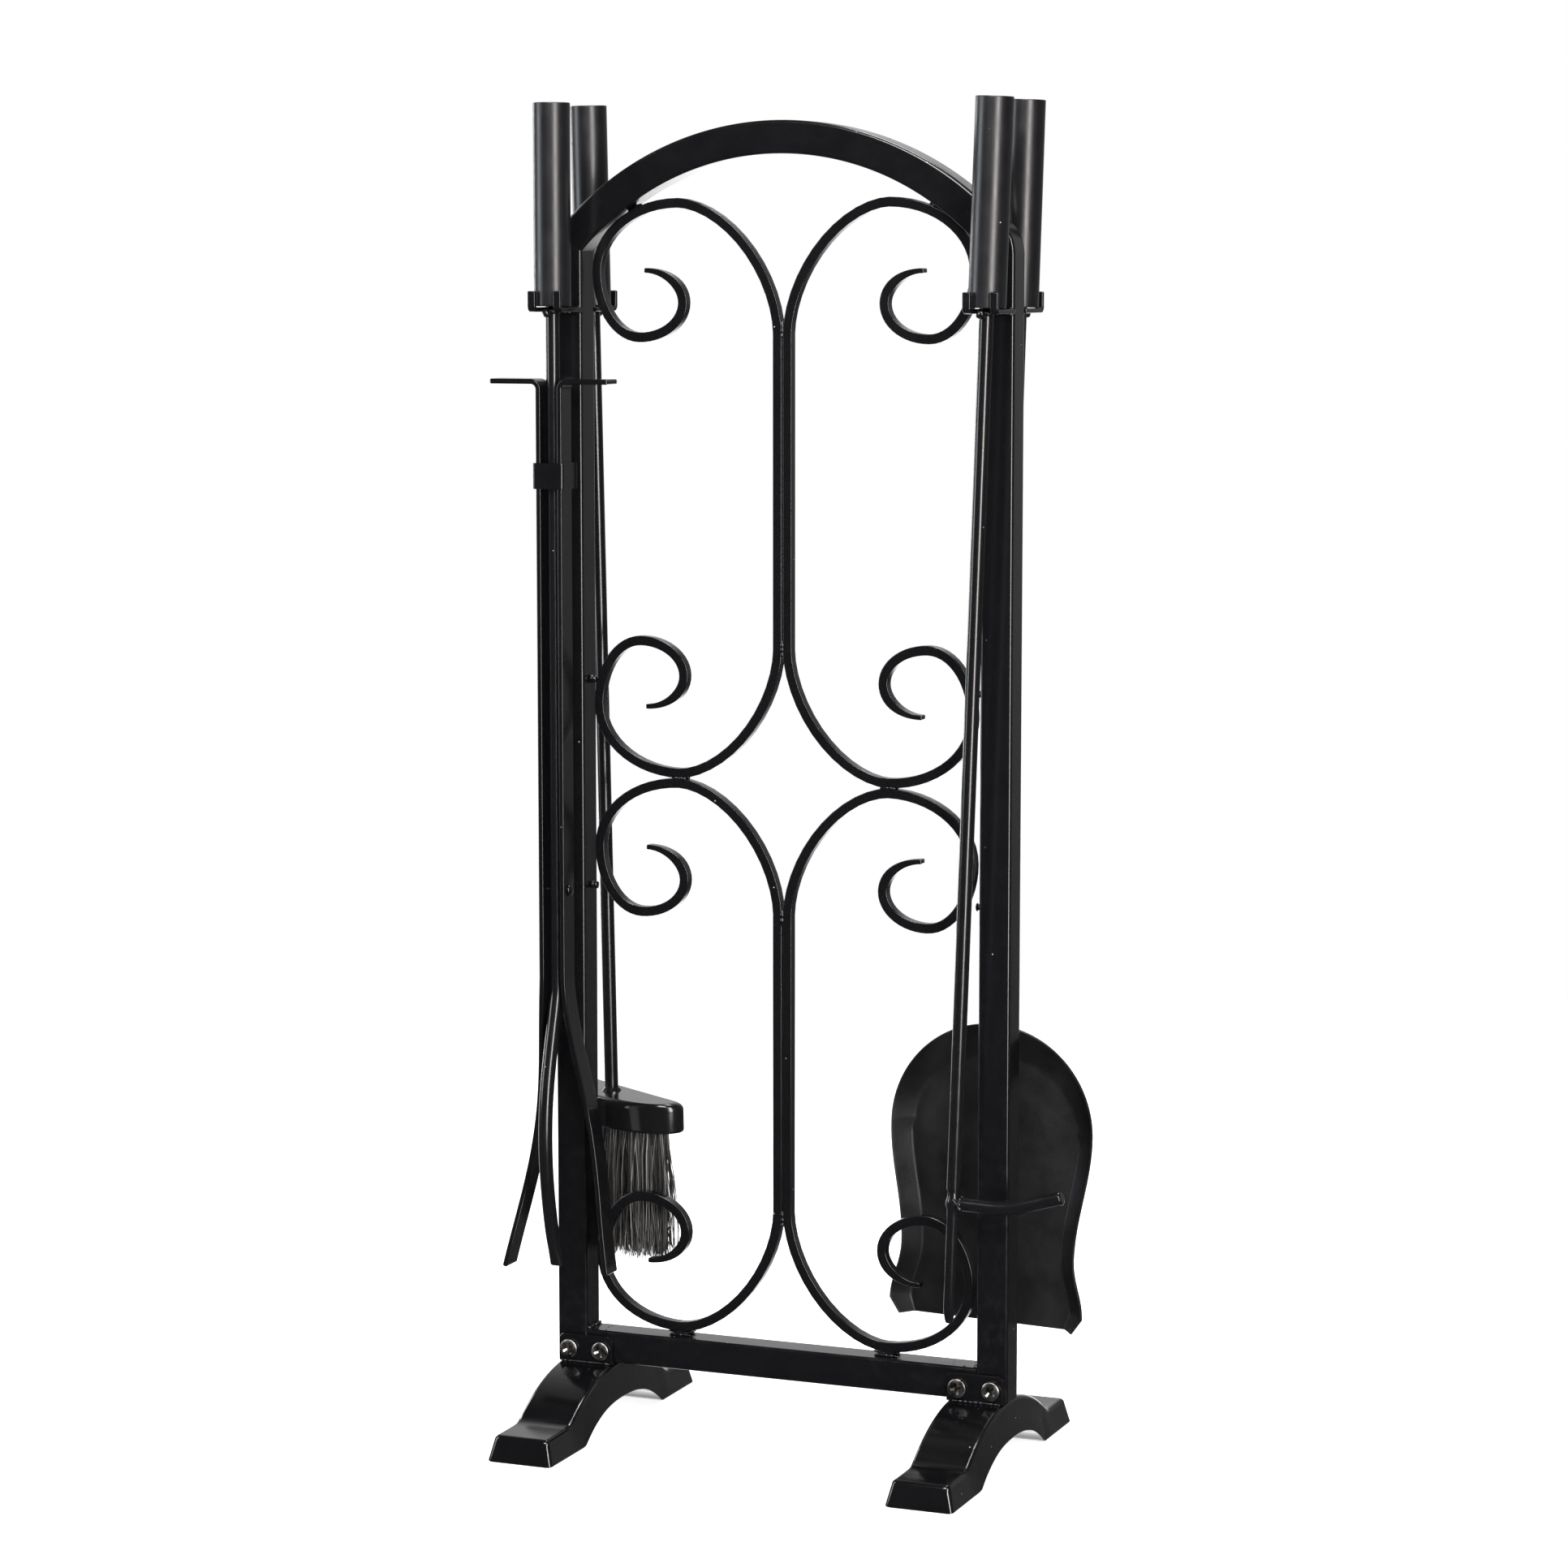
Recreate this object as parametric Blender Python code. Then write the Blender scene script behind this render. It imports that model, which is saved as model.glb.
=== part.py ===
"""Fireplace tool set: an arched scroll stand that holds tongs, a poker, a brush and a shovel.

Metres, +Z up. The origin is on the floor under the middle of the stand, and its front faces -Y.
Front left hang the tongs, front right the poker, rear left the brush, rear right the shovel.
"""

import math

import bmesh
import bpy
from mathutils import Vector

MM = 0.001
GAP = 0.3 * MM  # air between pieces that touch or are welded on the real set

# The stand: square tube, bent flat bar scrolls, cast feet
TUBE = 19 * MM
TUBE_WALL = 1.5 * MM
TUBE_CORNER = 1.6 * MM
STAND_WIDTH = 284 * MM
FRAME_BOTTOM = 39 * MM
ARCH_TOP = 770 * MM
ARCH_RADIUS = 185 * MM
ARCH_STEPS = 24

SCROLL_THICK = 5.6 * MM
SCROLL_DEPTH = 6.2 * MM
SCROLL_TOP = 726.6 * MM
SCROLL_SPLIT = 391 * MM
SCROLL_FOOT = 60.6 * MM
STEM_X = 3.1 * MM
CURL = (  # centre line of one curl: distance from the middle of the stand, height from the loop's end
    (STEM_X, 74 * MM),
    (65 * MM, 0.0),
    (116 * MM, 39 * MM),
    (89 * MM, 77 * MM),
    (62 * MM, 57 * MM),
    (86 * MM, 38.5 * MM),
)
CURL_STEPS = 6
LOOP_SHAPE = 1.74  # exponent of the first quarter: 2 is an ellipse, and less is flatter
TIP_LENGTH = 26 * MM
TIP_SHARE = 0.5

FOOT_LENGTH = 210 * MM
FOOT_WIDTH = 41 * MM
FOOT_TOP_WIDTH = 35.2 * MM
FOOT_X = 123 * MM
FOOT_CROWN = FRAME_BOTTOM - GAP
PAD_HEIGHT = 15 * MM
CROWN_RADIUS = 117 * MM
FOOT_GAP_SPAN = 112 * MM
FOOT_GAP_RISE = 17 * MM
FOOT_STEPS = 26

BRACKET_WIDTH = 34.6 * MM
BRACKET_TOP = 55.2 * MM
BRACKET_PLATE = 2.4 * MM
SCREW_SPREAD = 10.25 * MM
SCREW_HEIGHT = 46.4 * MM
SCREW_SHANK = 4.8 * MM
SCREW_HEAD = 10.4 * MM
SCREW_HOLE = 5.6 * MM

FORK_PLATE = 2.7 * MM
FORK_WIDTH = 21 * MM
FORK_SLOT = 11.3 * MM
FORK_REACH = 40.2 * MM
FORK_TIP = 9.3 * MM
FORK_TOP = 664.2 * MM

# The tools: each is drawn hanging straight down from its own origin, where its handle sits on its fork
HANG_Y = 28 * MM
HANG_Z = FORK_TOP + 2 * GAP
ROD = 8.2 * MM
HANDLE = 21.4 * MM
HANDLE_WALL = 1.2 * MM
HANDLE_LENGTH = 115.9 * MM
PLUG = 3 * MM
ROD_IN_HANDLE = 34 * MM

PIVOT_DROP = 339.7 * MM
TAB_DROP = 41.6 * MM
ARM_THICK = 3 * MM
ARM_WIDTH = 14.5 * MM
ARM_X = 6.7 * MM
TAB_REACH = 37.5 * MM
SPREAD_DROP = 391 * MM
ARM_END_DROP = 567 * MM
ARM_END_X = 32.9 * MM
ARM_BULGE = 14 * MM
ARM_SPREAD = 1.4  # above 1 keeps the arms together for longer
BULGE_LENGTH = 193 * MM
PRONG_DROP = 399 * MM
PRONG_END_DROP = 564 * MM
PRONG_BULGE = 17.5 * MM
STRAP_DROP = 97.5 * MM
STRAP_HEIGHT = 15 * MM
STRAP_SHEET = 1.3 * MM
RIVET = 3.2 * MM

POKER_SHOULDER = 499.5 * MM
POKER_END = 577 * MM
POKER_TIP_BAR = 6.9 * MM
HOOK_DROP = 506.8 * MM
HOOK_BEND = 33.5 * MM
HOOK_REACH = 65 * MM
HOOK_RISE = 10.5 * MM

BLOCK_DROP = 470 * MM
BLOCK_HEIGHT = 18 * MM
BLOCK_HALF = 61 * MM
BLOCK_BACK = 15 * MM
BLOCK_FRONT = 18.5 * MM
BLOCK_YAW = math.radians(-33)
BRISTLE_LENGTH = 80 * MM
BRISTLE_INSET = 7 * MM

PAN_SHEET = 1.5 * MM
PAN_APEX = 411.7 * MM
PAN_WIDEST = 474 * MM
PAN_WAIST = 546 * MM
PAN_LIP = 580 * MM
PAN_MOUTH = 589 * MM
PAN_HALF = 61.6 * MM
PAN_WAIST_HALF = 53 * MM
PAN_LIP_HALF = 59.2 * MM
PAN_MOUTH_HALF = 53 * MM
PAN_DEPTH = 9.5 * MM
PAN_RIM_Y = -1.5 * MM

FRONT, REAR = -1, 1
LEFT, RIGHT = -1, 1
LEANS = {  # how far each tool's lower end hangs off its fork's plumb line, over HANG_Z
    "tongs": (0.0, 0.0),
    "poker": (-22.6 * MM, 0.0),
    "brush": (8.6 * MM, 10.6 * MM),
    "shovel": (-18.6 * MM, -2.5 * MM),
}

ROUND_SIDES = 16

LOOKS = {
    "black_paint": ((0.012, 0.012, 0.014), 0.32, 0.35),
    "black_satin": ((0.016, 0.016, 0.018), 0.45, 0.45),
    "pan_black": ((0.018, 0.018, 0.019), 0.6, 0.3),
    "dark_nickel": ((0.16, 0.15, 0.14), 0.25, 1.0),
    "zinc": ((0.45, 0.45, 0.46), 0.4, 1.0),
    "bristle": ((0.03, 0.028, 0.027), 0.7, 0.0),
}


def clear_scene():
    for obj in list(bpy.data.objects):
        bpy.data.objects.remove(obj, do_unlink=True)


def look(name):
    """The Principled material of that name, made on first use."""
    made = bpy.data.materials.get(name)
    if made:
        return made
    colour, roughness, metallic = LOOKS[name]
    made = bpy.data.materials.new(name)
    made.use_nodes = True
    shader = made.node_tree.nodes["Principled BSDF"]
    shader.inputs["Base Color"].default_value = (*colour, 1.0)
    shader.inputs["Roughness"].default_value = roughness
    shader.inputs["Metallic"].default_value = metallic
    return made


def add_object(name, shape, finish="black_paint", parent=None, place=(0, 0, 0), turn=(0, 0, 0)):
    """A named object from a bmesh, shaded smooth except at its sharp edges."""
    mesh = bpy.data.meshes.new(name)
    bmesh.ops.recalc_face_normals(shape, faces=shape.faces)
    shape.to_mesh(mesh)
    shape.free()
    mesh.shade_smooth()
    mesh.set_sharp_from_angle(angle=math.radians(35))
    mesh.materials.append(look(finish))
    return add_copy(name, mesh, parent, place, turn)


def add_copy(name, mesh, parent=None, place=(0, 0, 0), turn=(0, 0, 0)):
    """Another object on a mesh that may be shared."""
    obj = bpy.data.objects.new(name, mesh)
    bpy.context.scene.collection.objects.link(obj)
    obj.parent = parent
    obj.location = place
    obj.rotation_euler = turn
    return obj


def add_empty(name, place, parent=None):
    empty = bpy.data.objects.new(name, None)
    bpy.context.scene.collection.objects.link(empty)
    empty.parent = parent
    empty.location = place
    return empty


def cut(obj, shape, place=(0, 0, 0), turn=(0, 0, 0)):
    """Takes a shape, given in the space of the object's parent, out of the object."""
    cutter = add_object(obj.name + "_cutter", shape, "zinc", obj.parent, place, turn)
    cutter.hide_render = True
    cutter.display_type = "WIRE"
    boolean = obj.modifiers.new("cut", "BOOLEAN")
    boolean.operation = "DIFFERENCE"
    boolean.solver = "EXACT"
    boolean.object = cutter


def loft(rings, closed=False):
    """A bmesh that joins rings of equal length. Open ends are capped; a closed one runs round into itself."""
    shape = bmesh.new()
    loops = [[shape.verts.new(point) for point in ring] for ring in rings]
    spans = list(zip(loops, loops[1:]))
    if closed:
        spans.append((loops[-1], loops[0]))
    count = len(rings[0])
    for low, high in spans:
        for i in range(count):
            j = (i + 1) % count
            shape.faces.new((low[i], low[j], high[j], high[i]))
    if not closed:
        shape.faces.new(loops[0])
        shape.faces.new(loops[-1][::-1])
    return shape


def circle(radius, height, sides=ROUND_SIDES):
    """A level ring about the Z axis."""
    turns = [math.tau * i / sides for i in range(sides)]
    return [Vector((radius * math.cos(a), radius * math.sin(a), height)) for a in turns]


def turned(profile, hollow=False, sides=ROUND_SIDES):
    """A turned piece from (radius, height) points. A hollow one's profile is a closed loop."""
    return loft([circle(radius, height, sides) for radius, height in profile], closed=hollow)


def pin(radius, low, high, sides=ROUND_SIDES):
    return turned([(radius, low), (radius, high)], sides=sides)


def round_section(radius, sides=12):
    turns = [math.tau * (i + 0.5) / sides for i in range(sides)]
    return [(radius * math.cos(a), radius * math.sin(a)) for a in turns]


def flat_section(thick, width):
    half, reach = thick / 2, width / 2
    return [(-half, -reach), (half, -reach), (half, reach), (-half, reach)]


def swept(path, side, sections):
    """A bar along a path in one plane. Each section point is (along the bend's normal, along side)."""
    rings = []
    last = len(path) - 1
    for i, (point, section) in enumerate(zip(path, sections)):
        before = (point - path[max(i - 1, 0)]).normalized()
        after = (path[min(i + 1, last)] - point).normalized()
        along = (before + after).normalized()
        across = along.cross(side)
        stretch = 1 / max(along.dot(after if i < last else before), 0.5)
        rings.append([point + across * a * stretch + side * b for a, b in section])
    return loft(rings)


def arc(centre, radius, start, end, steps):
    """Points (across, up) on an arc in the plane of a path; the angles are in degrees."""
    turns = [math.radians(start + (end - start) * i / steps) for i in range(steps + 1)]
    return [(centre[0] + radius * math.cos(a), centre[1] + radius * math.sin(a)) for a in turns]


def extruded(outline, low, high, to_point):
    """A plate from an outline of pairs; to_point(a, b, depth) places each of its corners."""
    return loft([[Vector(to_point(a, b, depth)) for a, b in outline] for depth in (low, high)])


# ---- the stand -------------------------------------------------------------------------------


def tube_ring(outer, inner, inset):
    """The square section between two points of the XZ plane, pulled in by inset, with cut corners."""
    across = (inner - outer).normalized()
    start, end = outer + across * inset, inner - across * inset
    half = TUBE / 2 - inset
    corner = max(TUBE_CORNER - inset, 0.3 * MM)
    ring = []
    for point, way in ((start, 1), (end, -1)):
        near, far = point + across * corner * way, point
        for y in (-half, -half + corner, half - corner, half):
            spot = near if abs(y) == half else far
            ring.append(Vector((spot.x, y, spot.z)))
        if way == 1:
            continue
        ring[4:] = ring[:3:-1]
    return ring


def square_tube(stations):
    """An open square tube through (outer, inner) pairs of points in the XZ plane."""
    outside = [tube_ring(outer, inner, 0) for outer, inner in stations]
    bore = [tube_ring(outer, inner, TUBE_WALL) for outer, inner in stations]
    return loft(outside + bore[::-1], closed=True)


def arch_stations():
    """Pairs of points along the arch, from mitre to mitre."""
    centre_z = ARCH_TOP - ARCH_RADIUS
    half = STAND_WIDTH / 2
    outer_reach = math.asin(half / ARCH_RADIUS)
    inner_radius = ARCH_RADIUS - TUBE
    inner_reach = math.asin((half - TUBE) / inner_radius)
    pairs = []
    for i in range(ARCH_STEPS + 1):
        share = 2 * i / ARCH_STEPS - 1
        pair = []
        for radius, reach in ((ARCH_RADIUS, outer_reach), (inner_radius, inner_reach)):
            x, z = radius * math.sin(reach * share), centre_z + radius * math.cos(reach * share)
            pair.append(Vector((x, 0, z)))
        pairs.append(tuple(pair))
    return pairs


def add_frame():
    mitres = arch_stations()
    add_object("top_arch", square_tube(mitres))
    for side, word in ((LEFT, "left"), (RIGHT, "right")):
        outer, inner = mitres[0 if side == LEFT else -1]
        drop = Vector((0, 0, GAP))
        foot = [Vector((point.x, 0, FRAME_BOTTOM)) for point in (outer, inner)]
        upright = add_object(word + "_upright", square_tube([foot, (outer - drop, inner - drop)]))
        cut(upright, pin(SCREW_HOLE / 2, 0, TUBE / 2 + GAP), *screw_seat(side, 1, 0))
    end = STAND_WIDTH / 2 - TUBE - GAP
    low, high = FRAME_BOTTOM, FRAME_BOTTOM + TUBE
    ends = [(Vector((x, 0, low)), Vector((x, 0, high))) for x in (-end, end)]
    bar = add_object("bottom_bar", square_tube(ends))
    for side in (LEFT, RIGHT):
        cut(bar, pin(SCREW_HOLE / 2, 0, TUBE / 2 + GAP), *screw_seat(side, -1, 0))


def screw_seat(side, way, y):
    """Place and turn of a screw's axis: way 1 is the outer screw of a foot, -1 the inner one."""
    return (side * (FOOT_X + way * SCREW_SPREAD), y, SCREW_HEIGHT), (math.radians(90), 0, 0)


def curl_path(end_z, way):
    """One end of a scroll as quarter ellipses, from the straight stem to the curl's tip."""
    stops = [(-x, end_z + way * rise) for x, rise in CURL]
    points = []
    for i, ((x0, z0), (x1, z1)) in enumerate(zip(stops, stops[1:])):
        for step in range(CURL_STEPS + 1):
            a = math.pi / 2 * step / CURL_STEPS
            power = 2 / LOOP_SHAPE if i == 0 else 1
            near, far = max(math.cos(a), 0.0) ** power, math.sin(a) ** power
            if i % 2 == 0:
                x, z = x1 + (x0 - x1) * near, z0 + (z1 - z0) * far
            else:
                x, z = x0 + (x1 - x0) * far, z1 + (z0 - z1) * near
            if step or not i:
                points.append(Vector((x, 0, z)))
    return points


def add_scroll(name, low, high, side):
    half = SCROLL_THICK / 2
    path = curl_path(low + half, 1)[::-1] + curl_path(high - half, -1)
    length = [0.0]
    for a, b in zip(path, path[1:]):
        length.append(length[-1] + (b - a).length)
    sections = []
    for here in length:
        share = min(here, length[-1] - here, TIP_LENGTH) / TIP_LENGTH
        sections.append(flat_section(SCROLL_THICK * (TIP_SHARE + (1 - TIP_SHARE) * share), SCROLL_DEPTH))
    for point in path:
        point.x *= -side
    add_object(name, swept(path, Vector((0, 1, 0)), sections))


def add_scrolls():
    for side, word in ((LEFT, "left"), (RIGHT, "right")):
        add_scroll("upper_scroll_" + word, SCROLL_SPLIT + GAP / 2, SCROLL_TOP, side)
        add_scroll("lower_scroll_" + word, SCROLL_FOOT, SCROLL_SPLIT - GAP / 2, side)
        low, high = FRAME_BOTTOM + TUBE + GAP, SCROLL_FOOT - GAP
        x, half, deep = side * CURL[1][0], 8 * MM, SCROLL_DEPTH / 2
        corners = [(x - half, -deep), (x + half, -deep), (x + half, deep), (x - half, deep)]
        add_object("scroll_spacer_" + word, extruded(corners, low, high, lambda a, b, z: (a, b, z)))


def foot_rings():
    """Sections of a foot from front to rear: flat pads at both ends, and an arch between them."""
    half_length = FOOT_LENGTH / 2
    rings = []
    for i in range(FOOT_STEPS + 1):
        y = half_length * math.sin(math.pi * (i / FOOT_STEPS - 0.5))
        reach = abs(y)
        crown = FOOT_CROWN - CROWN_RADIUS + math.sqrt(CROWN_RADIUS**2 - reach**2)
        top = max(crown, PAD_HEIGHT)
        under = max(0.0, FOOT_GAP_RISE * (1 - (2 * reach / FOOT_GAP_SPAN) ** 2.5))
        at_end = i in (0, FOOT_STEPS)
        lean = math.copysign(3 * MM, y) if at_end else 0
        upper, edge = FOOT_TOP_WIDTH / 2, 2.4 * MM
        lower = min(FOOT_WIDTH / 2, upper + 0.25 * (top - under))
        right = [(lower, y, under), (upper + 0.6 * MM, y - lean * 0.8, top - edge), (upper - edge, y - lean, top)]
        left = [(-x, back, z) for x, back, z in right[::-1]]
        rings.append([Vector(point) for point in right + left])
    return rings


def add_feet():
    for side, word in ((LEFT, "left"), (RIGHT, "right")):
        x = side * FOOT_X
        add_object("foot_" + word, loft(foot_rings()), place=(x, 0, 0))
        front = -TUBE / 2 - GAP
        half, low, corner = BRACKET_WIDTH / 2, FOOT_CROWN - 0.1 * MM, 4 * MM
        outline = [(-half, low), (half, low)]
        outline += arc((half - corner, BRACKET_TOP - corner), corner, 0, 90, 4)
        outline += arc((corner - half, BRACKET_TOP - corner), corner, 90, 180, 4)
        plate = extruded(outline, front, front - BRACKET_PLATE, lambda a, b, y: (a, y, b))
        bracket = add_object("foot_bracket_" + word, plate, place=(x, 0, 0))
        for way, which in ((1, "outer"), (-1, "inner")):
            seat, turn = screw_seat(side, way, 0)
            cut(bracket, pin(SCREW_HOLE / 2, 0, TUBE), seat, turn)
            add_fixings(which + "_" + word, seat, turn, TUBE / 2 + BRACKET_PLATE + 2 * GAP)


def add_fixings(word, seat, turn, head_at):
    """A pan-head screw and the insert nut in the tube that it threads into."""
    head, shank, rise = SCREW_HEAD / 2, SCREW_SHANK / 2, 3 * MM
    dome = [(head, head_at), (head, head_at + 0.3 * rise), (0.8 * head, head_at + 0.8 * rise)]
    profile = [(shank, -1 * MM), (shank, head_at), *dome, (0.4 * head, head_at + rise)]
    add_object("foot_screw_" + word, turned(profile), "dark_nickel", place=seat, turn=turn)
    bore, rim = SCREW_HOLE / 2, 4.2 * MM
    high = TUBE / 2 - TUBE_WALL - GAP
    ring = [(bore, 0.0), (rim, 0.0), (rim, high), (bore, high)]
    add_object("insert_nut_" + word, turned(ring, hollow=True, sides=12), "zinc", place=seat, turn=turn)


def add_forks():
    """Four forked hooks: a slot takes the rod, and two upturned tips keep the handle from sliding off."""
    middle, bend = -FORK_PLATE / 2, 2.2 * MM
    tip_y = -FORK_REACH + FORK_PLATE / 2
    line = [(-TUBE / 2 - GAP, middle)]
    line += arc((tip_y + bend, middle + bend), bend, 270, 180, 4)
    line.append((tip_y, FORK_TIP))
    path = [Vector((0, y, z)) for y, z in line]
    sections = [flat_section(FORK_PLATE, FORK_WIDTH)] * len(path)
    x = STAND_WIDTH / 2 - TUBE / 2
    for side, word in ((LEFT, "left"), (RIGHT, "right")):
        for end, where in ((FRONT, "front"), (REAR, "rear")):
            holder = add_empty(f"fork_{where}_{word}_seat", (side * x, 0, FORK_TOP))
            holder.rotation_euler.z = 0 if end == FRONT else math.pi
            fork = add_object(f"fork_{where}_{word}", swept(path, Vector((1, 0, 0)), sections), parent=holder)
            slot = FORK_SLOT / 2
            outline = arc((0, -HANG_Y + slot / 2), slot, 0, 180, 8)
            outline += [(-slot, -2 * FORK_REACH), (slot, -2 * FORK_REACH)]
            cut(fork, extruded(outline, -10 * MM, 20 * MM, lambda a, b, z: (a, b, z)))


# ---- the tools -------------------------------------------------------------------------------


def add_tool(name, side, end):
    """A tool's empty, on the line that it lifts along, with its handle, cap and plug. It leans as it hangs."""
    x = side * (STAND_WIDTH / 2 - TUBE / 2)
    hang = add_empty(name + "_hang", (x, end * HANG_Y, HANG_Z))
    down = Vector((0, 0, -1))
    hang.rotation_mode = "QUATERNION"
    hang.rotation_quaternion = down.rotation_difference(Vector((*LEANS[name], -HANG_Z)))
    outside, inside, edge = HANDLE / 2, HANDLE / 2 - HANDLE_WALL, 0.5 * MM
    tube = [(inside, 0), (outside - edge, 0), (outside, edge), (outside, HANDLE_LENGTH - edge)]
    tube += [(outside - edge, HANDLE_LENGTH), (inside, HANDLE_LENGTH)]
    add_object(name + "_handle", turned(tube, hollow=True, sides=32), "black_satin", hang)
    fit = inside - GAP
    cap = pin(fit, HANDLE_LENGTH - PLUG, HANDLE_LENGTH - 0.4 * MM, 32)
    add_object(name + "_handle_cap", cap, "black_satin", hang)
    bore = ROD / 2 + GAP
    plug = [(bore, 0.4 * MM), (fit, 0.4 * MM), (fit, PLUG), (bore, PLUG)]
    add_object(name + "_handle_plug", turned(plug, hollow=True, sides=24), "black_satin", hang)
    return hang


def drop_path(points):
    """Points (y, distance below the fork) as a path in a tool's own space."""
    return [Vector((0, y, -drop)) for y, drop in points]


def add_tongs():
    hang = add_tool("tongs", LEFT, FRONT)
    steps, length = 12, PRONG_END_DROP - PRONG_DROP
    line = [(0, -ROD_IN_HANDLE), (0, PIVOT_DROP)]
    for i in range(steps + 1):
        line.append((-PRONG_BULGE * math.sin(math.pi * 0.95 * i / steps), PRONG_DROP + length * i / steps))
    sections = [round_section(ROD / 2)] * (len(line) - 2)
    sections += [[(a * flat, b) for a, b in round_section(ROD / 2)] for flat in (0.75, 0.3)]
    rod = add_object("tongs_rod", swept(drop_path(line), Vector((1, 0, 0)), sections), parent=hang)
    across = (0, math.radians(90), 0)
    hole = pin(RIVET / 2 + GAP, -TAB_REACH, TAB_REACH, 12)
    cut(rod, hole, (0, 0, -PIVOT_DROP), across)

    jaws = add_empty("tongs_jaws_pivot", (0, 0, -PIVOT_DROP), hang)
    for side, word in ((LEFT, "left"), (RIGHT, "right")):
        arm = add_object("tongs_arm_" + word, arm_shape(side), parent=jaws)
        cut(arm, pin(RIVET / 2 + GAP, -TAB_REACH, TAB_REACH, 12), turn=across)
    reach, shank, head = ARM_X + ARM_THICK / 2 + GAP, RIVET / 2, 3.4 * MM
    half = [(shank, reach), (head, reach), (head * 0.8, reach + 1.2 * MM), (head * 0.3, reach + 1.7 * MM)]
    profile = [(radius, -height) for radius, height in half[::-1]] + half
    add_object("tongs_rivet", turned(profile, sides=12), parent=jaws, turn=across)
    add_object("tongs_strap", strap_shape(), parent=jaws)


def arm_shape(side):
    """One flat arm: finger tab, bend, straight run past the rivet, then spread and bowed to the rear."""
    bend = 4.5 * MM
    top = -TAB_DROP - ARM_THICK / 2 + PIVOT_DROP
    line = [(TAB_REACH, top, 0)]
    for x, z in arc((ARM_X + bend, top - bend), bend, 90, 180, 4):
        line.append((x, z, 0))
    steps, bend_z, end_z = 16, PIVOT_DROP - SPREAD_DROP, PIVOT_DROP - ARM_END_DROP
    line.append((ARM_X, bend_z + 10 * MM, 0))
    for i in range(steps + 1):
        share = i / steps
        run = share * (bend_z - end_z)
        bow = ARM_BULGE * math.sin(math.pi * run / BULGE_LENGTH) ** 2
        line.append((ARM_X + (ARM_END_X - ARM_X) * share**ARM_SPREAD, bend_z - run, bow))
    path = [Vector((side * x, y, z)) for x, z, y in line]
    return swept(path, Vector((0, 1, 0)), [flat_section(ARM_THICK, ARM_WIDTH)] * len(path))


def strap_shape():
    """The clip round the front of both arms, its rear ends flared."""
    reach = ARM_X + ARM_THICK / 2 + GAP + STRAP_SHEET / 2
    front, rear, bend = -ARM_WIDTH / 2 - GAP - STRAP_SHEET / 2, ARM_WIDTH / 2, 1 * MM
    line = [(-reach - 1.5 * MM, rear + 1.5 * MM), (-reach, rear)]
    line += arc((bend - reach, front + bend), bend, 180, 270, 3)
    line += arc((reach - bend, front + bend), bend, 270, 360, 3)
    line += [(reach, rear), (reach + 1.5 * MM, rear + 1.5 * MM)]
    middle = PIVOT_DROP - STRAP_DROP
    path = [Vector((x, y, middle)) for x, y in line]
    return swept(path, Vector((0, 0, 1)), [flat_section(STRAP_SHEET, STRAP_HEIGHT)] * len(path))


def add_poker():
    hang = add_tool("poker", RIGHT, FRONT)
    rod, bar = ROD / 2, POKER_TIP_BAR / 2
    shaft = [(0.8 * rod, -POKER_SHOULDER), (rod, -POKER_SHOULDER + 1 * MM), (rod, ROD_IN_HANDLE)]
    add_object("poker_rod", turned(shaft), parent=hang)

    start = POKER_SHOULDER + GAP
    stations = [(start, bar, bar), (HOOK_DROP - 4 * MM, bar, bar)]
    stations += [(HOOK_DROP, 1.3 * bar, 1.3 * bar), (HOOK_DROP + 4 * MM, bar, bar)]
    stations += [(POKER_END - 24 * MM, bar, bar), (POKER_END - 10 * MM, 0.85 * bar, 1.05 * bar)]
    stations += [(POKER_END, 0.2 * bar, 0.5 * bar)]
    rings = [
        [Vector((wide * point.x / bar, deep * point.y / bar, -drop)) for point in circle(bar, 0)]
        for drop, deep, wide in stations
    ]
    add_object("poker_tip", loft(rings), parent=hang)

    root = 1.3 * bar + GAP
    line = [(root, HOOK_DROP), (HOOK_BEND - 6 * MM, HOOK_DROP), (HOOK_BEND, HOOK_DROP - 0.3 * MM)]
    line += [(HOOK_BEND + 6 * MM, HOOK_DROP - 1.8 * MM), (HOOK_REACH, HOOK_DROP - HOOK_RISE)]
    path = [Vector((x, 0, -drop)) for x, drop in line]
    add_object("poker_hook", swept(path, Vector((0, 1, 0)), [round_section(rod)] * len(path)), parent=hang)


def block_outline(inset):
    """A half-moon seen from above: straight back, round front, centred on the rod."""
    half, corner = BLOCK_HALF - inset, 7 * MM
    back, front = BLOCK_BACK - inset, BLOCK_FRONT - inset
    outline = arc((half - corner, back - corner), corner, 0, 90, 4)
    outline += arc((corner - half, back - corner), corner, 90, 180, 4)
    waist = back - corner
    for i in range(1, 20):
        a = math.pi * (1 + i / 20)
        outline.append((half * math.cos(a), waist + (front + waist) * math.sin(a)))
    return outline


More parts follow.
